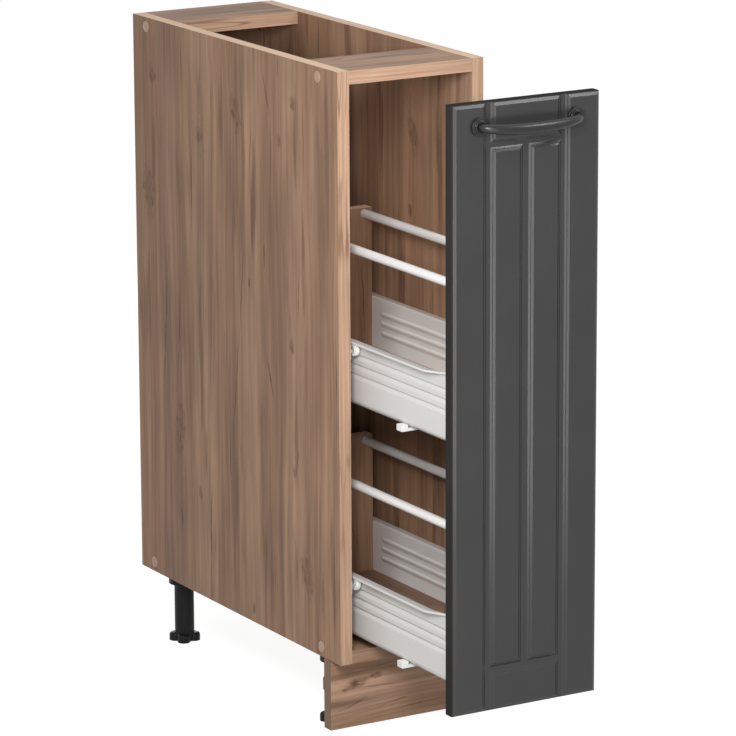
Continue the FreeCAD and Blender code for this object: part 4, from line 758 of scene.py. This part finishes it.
class Fastener:
    """Axis and sizes of one built fastener, read from its points."""

    def __init__(self, points, axis=None):
        low = Vector([min(point[index] for point in points) for index in range(3)])
        high = Vector([max(point[index] for point in points) for index in range(3)])
        extent = high - low
        self.axis = max(range(3), key=lambda index: extent[index]) if axis is None else axis
        middle = (low + high) / 2
        reach = {}
        for end in (low[self.axis], high[self.axis]):
            near = [point for point in points if abs(point[self.axis] - end) < END_DEPTH]
            reach[end] = max(self.radial(point, middle) for point in near)
        self.head_end = max(reach, key=reach.get)
        self.tip = min(reach, key=reach.get)
        self.head_radius = max(self.radial(point, middle) for point in points)
        self.shank_radius = reach[self.tip]
        wide = [abs(point[self.axis] - self.head_end) for point in points
                if self.radial(point, middle) > (self.head_radius + self.shank_radius) / 2]
        self.head_height = max(wide)
        self.length = abs(self.head_end - self.tip)
        seat = middle.copy()
        seat[self.axis] = self.head_end - math.copysign(self.head_height, self.head_end - self.tip)
        outward = Vector((0, 0, 0))
        outward[self.axis] = math.copysign(1, self.head_end - self.tip)
        turn = Vector((0, 0, 1)).rotation_difference(outward).to_matrix().to_4x4()
        self.place = Matrix.Translation(seat) @ turn

    def radial(self, point, middle):
        """Distance of a point from the fastener's axis."""
        offset = point - middle
        offset[self.axis] = 0
        return offset.length


# Points round a screw head, a shank, a nail and a cap
HEAD_STEPS = 40
SHANK_STEPS = 16
NAIL_STEPS = 20
CAP_STEPS = 40
# Rings of a screw head as shares of its radius: the one at its seat, then from the rim to the middle
SEAT_RING = 0.96
HEAD_RINGS = (1.0, 0.985, 0.93, 0.84, 0.72, 0.6, 0.5, 0.42, 0.34, 0.26, 0.18, 0.1)
# Height of the rim and depth of the cross recess, as shares of the head's height
RIM_HEIGHT = 0.55
RECESS_DEPTH = 0.6
# Arms of the recess: half width and reach as shares of the head's radius, slope of their walls as a share
# of the half width, and slope of their ends as a share of the reach
ARM_HALF = 0.13
ARM_REACH = 0.62
WALL_SLOPE = 0.6
END_SLOPE = 0.25
# Tip of a screw: longest share of the shank, length in shank radii, and its end as a share of that radius
TIP_SHARE = 0.4
TIP_LENGTH = 2
TIP_END = 0.25


def cross_screw(pieces, fastener, turn):
    """Pan-head screw with a cross recess."""
    radius = fastener.head_radius
    height = fastener.head_height
    arm_half = ARM_HALF * radius
    arm_reach = ARM_REACH * radius
    points = []
    for share in (SEAT_RING,) + HEAD_RINGS:
        dome = height * (RIM_HEIGHT + (1 - RIM_HEIGHT) * math.sqrt(1 - share ** 4))
        end = clamp((arm_reach - share * radius) / (END_SLOPE * arm_reach))
        for step in range(HEAD_STEPS):
            angle = 2 * math.pi * step / HEAD_STEPS
            x = share * radius * math.cos(angle)
            y = share * radius * math.sin(angle)
            inside = min(abs(x), abs(y))
            wall = clamp(((1 + WALL_SLOPE) * arm_half - inside) / (WALL_SLOPE * arm_half))
            points.append(Vector((x, y, dome - RECESS_DEPTH * height * wall * end)))
    for point in points[:HEAD_STEPS]:
        point.z = 0.0
    spin = Matrix.Rotation(turn, 4, "Z")
    pieces.add_rings([fastener.place @ spin @ point for point in points], HEAD_STEPS)
    shank = fastener.length - fastener.head_height
    tip = min(TIP_SHARE * shank, TIP_LENGTH * fastener.shank_radius)
    turned(pieces, ((fastener.shank_radius, 0.0), (fastener.shank_radius, tip - shank),
                    (TIP_END * fastener.shank_radius, -shank)), fastener.place, SHANK_STEPS)


SCREW_NODES = (
    ("base_clip_screws", "pullout"), ("front_fixing_screws", "pullout"), ("handle_screws", "pullout"),
    ("plinth_clip_screws", "carcass"), ("rear_board_screws", "pullout"), ("rod_screws", "pullout"),
    ("runner_screws", "carcass"),
)
for name, body in SCREW_NODES:
    dice = random.Random(len(name))
    pieces = Pieces()
    for part in loose_parts(name):
        cross_screw(pieces, Fastener(part), dice.uniform(0, math.pi))
    pieces.build("fine_" + name, body, "zinc_steel", [name])

# The milled front: satin foil on its face, matte at its outer edges and back
FACE_TURN = 0.65
PANEL_EDGE = 0.5
PANEL_ANGLE = 50
panel_mesh = nodes["front_panel"].data.copy()
panel_mesh.materials.clear()
panel_mesh.materials.append(finish["front_foil"])
panel_mesh.materials.append(finish["front_edge"])
panel_mesh.shade_flat()
for polygon in panel_mesh.polygons:
    polygon.material_index = 0 if polygon.normal.y < -FACE_TURN else 1
panel = bpy.data.objects.new("fine_front_panel", panel_mesh)
bpy.context.scene.collection.objects.link(panel)
round_edges(panel, PANEL_EDGE, 2, PANEL_ANGLE)
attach(panel, "pullout")
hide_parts("front_panel")

# Heads of nails and caps: radius and height from the seat to the top, as shares of the head's own
NAIL_HEAD = ((0.97, 0.0), (1.0, 0.3), (0.86, 0.72), (0.5, 0.94), (0.1, 1.0))
CAP_DOME = ((1.0, 0.0), (1.0, 0.14), (0.97, 0.30), (0.90, 0.49), (0.80, 0.67), (0.68, 0.81), (0.52, 0.92),
            (0.34, 0.98), (0.1, 1.0))
# Point of a nail: its end as a share of the shank's radius, and where it starts as a share of the length
NAIL_END = 0.3
NAIL_POINT = 0.8


def headed(pieces, fastener, shank, head, steps):
    """Turned fastener from its shank's profile and the shares of its head."""
    top = [(radius * fastener.head_radius, height * fastener.head_height) for radius, height in head]
    turned(pieces, shank + top, fastener.place, steps)


pieces = Pieces()
for part in loose_parts("back_panel_nails"):
    nail = Fastener(part)
    shank = [(NAIL_END * nail.shank_radius, nail.head_height - nail.length),
             (nail.shank_radius, -NAIL_POINT * nail.length), (nail.shank_radius, 0.0)]
    headed(pieces, nail, shank, NAIL_HEAD, NAIL_STEPS)
pieces.build("fine_back_panel_nails", "carcass", "zinc_steel", ["back_panel_nails"])

pieces = Pieces()
for part in loose_parts("cover_caps"):
    cap = Fastener(part, X_AXIS)
    shank = [(cap.shank_radius, cap.head_height - cap.length), (cap.shank_radius, 0.0)]
    headed(pieces, cap, shank, CAP_DOME, CAP_STEPS)
pieces.build("fine_cover_caps", "carcass", "cap_plastic", ["cover_caps"])


# Pressed drawer sides, swept along the drawer, in millimetres

SHEET = 1.2
# Radius of the foot's bend, radius of the lip's corners, and straight sheet beside a bend
FOOT_BEND = 8.0
CORNER = 1.1
BEND_MARGIN = 1.0
# Lip: reach outward, rise at the front end and at the kink, how much narrower it is there, and its least flat
LIP_REACH = 9.7
LIP_RISE = 5.0
LIP_KINK_RISE = 2.8
LIP_TAPER = 8.2
LIP_LEAST = 0.02
RIM_DROP = 2.4
# Behind the front the lip has its full width from the first distance on, and is narrowest up to the second
RISE_LENGTH = 78.0
NARROW_LENGTH = 45.0
KINK_SOFTNESS = 5.0
# Width of the flange under the floor, and width, lower edge and upper edge of the one behind the front
FLOOR_FLANGE = 18.0
FRONT_FLANGE = 18.6
FLANGE_LOW = 18.2
FLANGE_HIGH = 67.3
# Grooves: the first below the side's top, pitch, count, half widths, depth, end before the rear, run-out
RIB_FIRST = 18.4
RIB_PITCH = 12.2
RIBS = 3
RIB_ABOVE = 2.3
RIB_BELOW = 5.8
RIB_DEPTH = 2.0
RIB_START = 37.0
RIB_RUN_OUT = 6.0
# Hem at the front edge: width, height, rounding of its shoulder, height share there, and step to the wall
HEM_WIDTH = 4.3
HEM_HEIGHT = 0.7
HEM_ROUND = 0.5
HEM_SHOULDER = 0.75
HEM_STEP = 0.3
# Distance of points up the wall, and steps round the foot, round a corner, over the lip and beside a kink
WALL_STEP = 0.5
FOOT_STEPS = 8
CORNER_STEPS = 4
LIP_STEPS = 4
KINK_STEPS = 4
# Rings along the side: over the kinks, over the straight lip and over the run-out of the grooves
KINK_RINGS = 30
STRAIGHT_RINGS = 12
RUN_OUT_RINGS = 8
# Faces turned further inward than this get the rods' brighter white: painted light on the inner faces, which
# lie in shade
PAINTED_LIGHT_TURN = 0.5
BOX_FACES = ((0, 1, 3, 2), (4, 5, 7, 6), (0, 1, 5, 4), (2, 3, 7, 6), (0, 2, 6, 4), (1, 3, 7, 5))


def rib_dent(below_top):
    """Depth share of the pressed grooves at a height below the side's top."""
    for index in range(RIBS):
        offset = below_top - RIB_FIRST - RIB_PITCH * index
        reach = RIB_BELOW if offset > 0 else RIB_ABOVE
        if abs(offset) < reach:
            return 0.5 + 0.5 * math.cos(math.pi * offset / reach)
    return 0.0


def sheet_path(side_height, rib, rise, taper):
    """Middle line of the sheet across the drawer, from the floor flange to the rim.

    Across runs inward from the outer face, up from the foot. Each point also tells whether it is on the wall.
    """
    half = SHEET / 2
    top = side_height + rise
    lip = taper - LIP_REACH
    path = [(FLOOR_FLANGE, half, False), (FOOT_BEND + BEND_MARGIN, half, False)]
    foot = FOOT_BEND - half
    for step in range(FOOT_STEPS + 1):
        turn = math.pi / 2 * step / FOOT_STEPS
        path.append((FOOT_BEND - foot * math.sin(turn), FOOT_BEND - foot * math.cos(turn), False))
    wall_top = side_height - half - CORNER - BEND_MARGIN
    count = int((wall_top - FOOT_BEND) / WALL_STEP)
    for step in range(1, count + 1):
        height = FOOT_BEND + (wall_top - FOOT_BEND) * step / count
        path.append((half + rib * rib_dent(side_height - height), height, True))
    start = half - CORNER
    end = min(lip + half + CORNER, start - LIP_LEAST)
    shoulder = top - half - CORNER
    for step in range(CORNER_STEPS + 1):
        turn = math.pi / 2 * step / CORNER_STEPS
        path.append((start + CORNER * math.cos(turn), shoulder + CORNER * math.sin(turn), False))
    for step in range(1, LIP_STEPS):
        path.append((start + (end - start) * step / LIP_STEPS, top - half, False))
    for step in range(CORNER_STEPS + 1):
        turn = math.pi / 2 * (1 + step / CORNER_STEPS)
        path.append((end + (end - lip - half) * math.cos(turn), shoulder + CORNER * math.sin(turn), False))
    path.append((lip + half, top - RIM_DROP, False))
    return path


def sheet_ring(path, hem):
    """Outer and inner points of the sheet round its middle line."""
    outer = []
    inner = []
    for index, (across, height, wall) in enumerate(path):
        before = path[max(index - 1, 0)]
        after = path[min(index + 1, len(path) - 1)]
        run = Vector((after[0] - before[0], after[1] - before[1])).normalized()
        side = Vector((-run.y, run.x)) * SHEET / 2
        extra = hem if wall else 0.0
        outer.append((across + side.x - extra, height + side.y))
        inner.append((across - side.x, height - side.y))
    return outer, inner


def lip_turn(spot):
    """Rise and narrowing of the lip at a distance behind the front."""
    narrow = clamp((RISE_LENGTH - spot) / (RISE_LENGTH - NARROW_LENGTH))
    front = max(0.0, 1 - spot / NARROW_LENGTH)
    rise = LIP_KINK_RISE * narrow + (LIP_RISE - LIP_KINK_RISE) * front
    return rise, LIP_TAPER * narrow


def eased_turn(spot):
    """Rise and narrowing of the lip with its kinks drawn out a little, as pressed sheet has them."""
    steps = [lip_turn(max(0.0, spot + KINK_SOFTNESS * (step / KINK_STEPS - 1)))
             for step in range(2 * KINK_STEPS + 1)]
    return [sum(step[index] for step in steps) / len(steps) for index in range(2)]


def hem_height(spot):
    """Height of the hem at a distance behind the front."""
    if spot <= HEM_WIDTH - HEM_ROUND:
        return HEM_HEIGHT
    return HEM_HEIGHT * HEM_SHOULDER if spot <= HEM_WIDTH else 0.0


def ring_spots(length):
    """Distances of a drawer side's rings behind its front."""
    kinks = RISE_LENGTH + KINK_SOFTNESS
    grooves_end = length - RIB_START
    straight = grooves_end - RIB_RUN_OUT - RISE_LENGTH - KINK_SOFTNESS
    spots = {0.0, HEM_WIDTH - HEM_ROUND, HEM_WIDTH, HEM_WIDTH + HEM_STEP, grooves_end, length}
    spots.update(kinks * step / KINK_RINGS for step in range(KINK_RINGS + 1))
    spots.update(grooves_end - RIB_RUN_OUT * step / RUN_OUT_RINGS for step in range(RUN_OUT_RINGS + 1))
    spots.update(kinks + straight * step / STRAIGHT_RINGS for step in range(STRAIGHT_RINGS + 1))
    return sorted(spots)


def drawer_side(level, side, sign):
    """One pressed side with its grooves, rolled lip, floor flange, front flange and hem."""
    low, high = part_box(f"{level}_left_drawer_side")
    side_height = (high.z - low.z) / MM - LIP_RISE
    skin = low.x + LIP_REACH * MM
    length = (high.y - low.y) / MM

    def place(across, along, up):
        """A point from its distances inward from the outer face, behind the front and above the foot."""
        return Vector((sign * -(skin + across * MM), low.y + along * MM, low.z + up * MM))

    rings = []
    for spot in ring_spots(length):
        rise, taper = eased_turn(spot)
        run_out = clamp((length - RIB_START - spot) / RIB_RUN_OUT)
        groove = RIB_DEPTH * (0.5 - 0.5 * math.cos(math.pi * run_out))
        outer, inner = sheet_ring(sheet_path(side_height, groove, rise, taper), hem_height(spot))
        rings.append([place(across, spot, height) for across, height in outer + inner[::-1]])
    count = len(rings[0])
    faces = ring_faces(len(rings), count)
    for start in (0, (len(rings) - 1) * count):
        last = start + count - 1
        for index in range(count // 2 - 1):
            faces.append([start + index, start + index + 1, last - 1 - index, last - index])
    pieces = Pieces()
    pieces.add([point for ring in rings for point in ring], faces)
    plate = ((SHEET / 2, SHEET / 2 + FRONT_FLANGE), (0.0, SHEET), (FLANGE_LOW, FLANGE_HIGH))
    pieces.add([place(*corner) for corner in itertools.product(*plate)], BOX_FACES)
    piece = pieces.build(f"fine_{level}_{side}_drawer_side", "pullout", "white_steel",
                         [f"{level}_{side}_drawer_side"])
    # The inner faces take the rods' brighter white, painted light over the shade that falls there
    piece.data.materials.append(finish["rod_steel_and_painted_light"])
    for polygon in piece.data.polygons:
        polygon.material_index = 1 if sign * polygon.normal.x < -PAINTED_LIGHT_TURN else 0


for level in LEVELS:
    for side, sign in SIDES:
        drawer_side(level, side, sign)


# Floor

FLOOR_HALF = 14.0
FLOOR_GLOW = 0.90
FLOOR_TONE = (0.3, 0.3, 0.3, 1.0)
floor_mesh = bpy.data.meshes.new("floor")
floor_mesh.from_pydata([(-FLOOR_HALF, -FLOOR_HALF, 0), (FLOOR_HALF, -FLOOR_HALF, 0),
                        (FLOOR_HALF, FLOOR_HALF, 0), (-FLOOR_HALF, FLOOR_HALF, 0)], [], [(0, 1, 2, 3)])
floor = bpy.data.objects.new("floor", floor_mesh)
bpy.context.scene.collection.objects.link(floor)


def seen_rays(tree):
    """1 for rays that show the background: from the camera, or mirrored or let through by a surface."""
    path = tree.nodes.new("ShaderNodeLightPath")
    share = path.outputs["Is Camera Ray"]
    for name in ("Is Glossy Ray", "Is Transmission Ray"):
        step = tree.nodes.new("ShaderNodeMath")
        step.operation = "MAXIMUM"
        tree.links.new(share, step.inputs[0])
        tree.links.new(path.outputs[name], step.inputs[1])
        share = step.outputs["Value"]
    return share


def floor_material():
    """Pale floor that looks white and keeps a soft shadow."""
    material = bpy.data.materials.new("floor")
    material.use_nodes = True
    tree = material.node_tree
    tree.nodes.clear()
    output = tree.nodes.new("ShaderNodeOutputMaterial")
    glow = tree.nodes.new("ShaderNodeEmission")
    glow.inputs["Strength"].default_value = FLOOR_GLOW
    thin = tree.nodes.new("ShaderNodeBsdfDiffuse")
    thin.inputs["Color"].default_value = FLOOR_TONE
    seen = tree.nodes.new("ShaderNodeAddShader")
    tree.links.new(glow.outputs["Emission"], seen.inputs[0])
    tree.links.new(thin.outputs["BSDF"], seen.inputs[1])
    matte = tree.nodes.new("ShaderNodeBsdfDiffuse")
    matte.inputs["Color"].default_value = FLOOR_TONE
    choice = tree.nodes.new("ShaderNodeMixShader")
    tree.links.new(seen_rays(tree), choice.inputs["Fac"])
    tree.links.new(matte.outputs["BSDF"], choice.inputs[1])
    tree.links.new(seen.outputs["Shader"], choice.inputs[2])
    tree.links.new(choice.outputs["Shader"], output.inputs["Surface"])
    return material


floor_mesh.materials.append(floor_material())


# Light

AMBIENT = 0.32
# Lamps: place and aim in metres, width and height, and watts
LAMPS = {
    "slope_strip": ((-0.60, -1.21, 0.34), (0.0, -0.36, 0.60), (0.12, 0.62), 1.7),
    "bevel_strip": ((-0.42, -1.58, 0.32), (-0.10, -0.36, 0.60), (0.14, 0.62), 1.6),
    "front_right": ((0.57, -0.98, 1.43), (0.0, -0.36, 0.75), (0.36, 0.36), 4.0),
    "left_key": ((-0.95, -1.25, 1.20), (0.0, -0.05, 0.50), (0.55, 0.55), 21.0),
    "overhead": ((0.0, -0.2, 2.70), (0.0, 0.0, 0.5), (2.0, 2.0), 5.5),
    "rear_fill": ((0.55, 2.5, 0.50), (0.0, 0.1, 0.45), (1.4, 0.5), 14.0),
}
scene = bpy.context.scene
world = bpy.data.worlds.new("studio")
scene.world = world
world.use_nodes = True
tree = world.node_tree
background = tree.nodes["Background"]
background.inputs["Color"].default_value = (1.0, 1.0, 1.0, 1.0)
strength = tree.nodes.new("ShaderNodeMapRange")
strength.inputs["To Min"].default_value = AMBIENT
strength.inputs["To Max"].default_value = 1.0
tree.links.new(seen_rays(tree), strength.inputs["Value"])
tree.links.new(strength.outputs["Result"], background.inputs["Strength"])


def area_light(name, place, aim, size, power):
    """Soft upright lamp of a width and a height, turned to a point."""
    lamp = bpy.data.lights.new(name, "AREA")
    lamp.shape = "RECTANGLE"
    lamp.size, lamp.size_y = size
    lamp.energy = power
    holder = bpy.data.objects.new(name, lamp)
    scene.collection.objects.link(holder)
    holder.location = place
    holder.rotation_euler = (Vector(aim) - Vector(place)).to_track_quat("-Z", "Y").to_euler()
    holder.visible_camera = False


for name, settings in LAMPS.items():
    area_light(name, *settings)

# Camera

CAMERA_PLACE = (-2.62767, -4.47122, 1.68179)
YAW = math.radians(30.517)
PITCH = math.radians(13.667)
ROLL = math.radians(-0.261)
FOCAL_LENGTH = 215.25
SENSOR_WIDTH = 36.0
FAR_END = 60.0
lens = bpy.data.cameras.new("camera")
lens.lens = FOCAL_LENGTH
lens.sensor_width = SENSOR_WIDTH
lens.clip_end = FAR_END
camera = bpy.data.objects.new("camera", lens)
scene.collection.objects.link(camera)
turn = Matrix.Rotation(-YAW, 4, "Z") @ Matrix.Rotation(math.pi / 2 - PITCH, 4, "X")
camera.matrix_world = Matrix.Translation(CAMERA_PLACE) @ turn @ Matrix.Rotation(ROLL, 4, "Z")
scene.camera = camera
scene.view_settings.view_transform = "Standard"
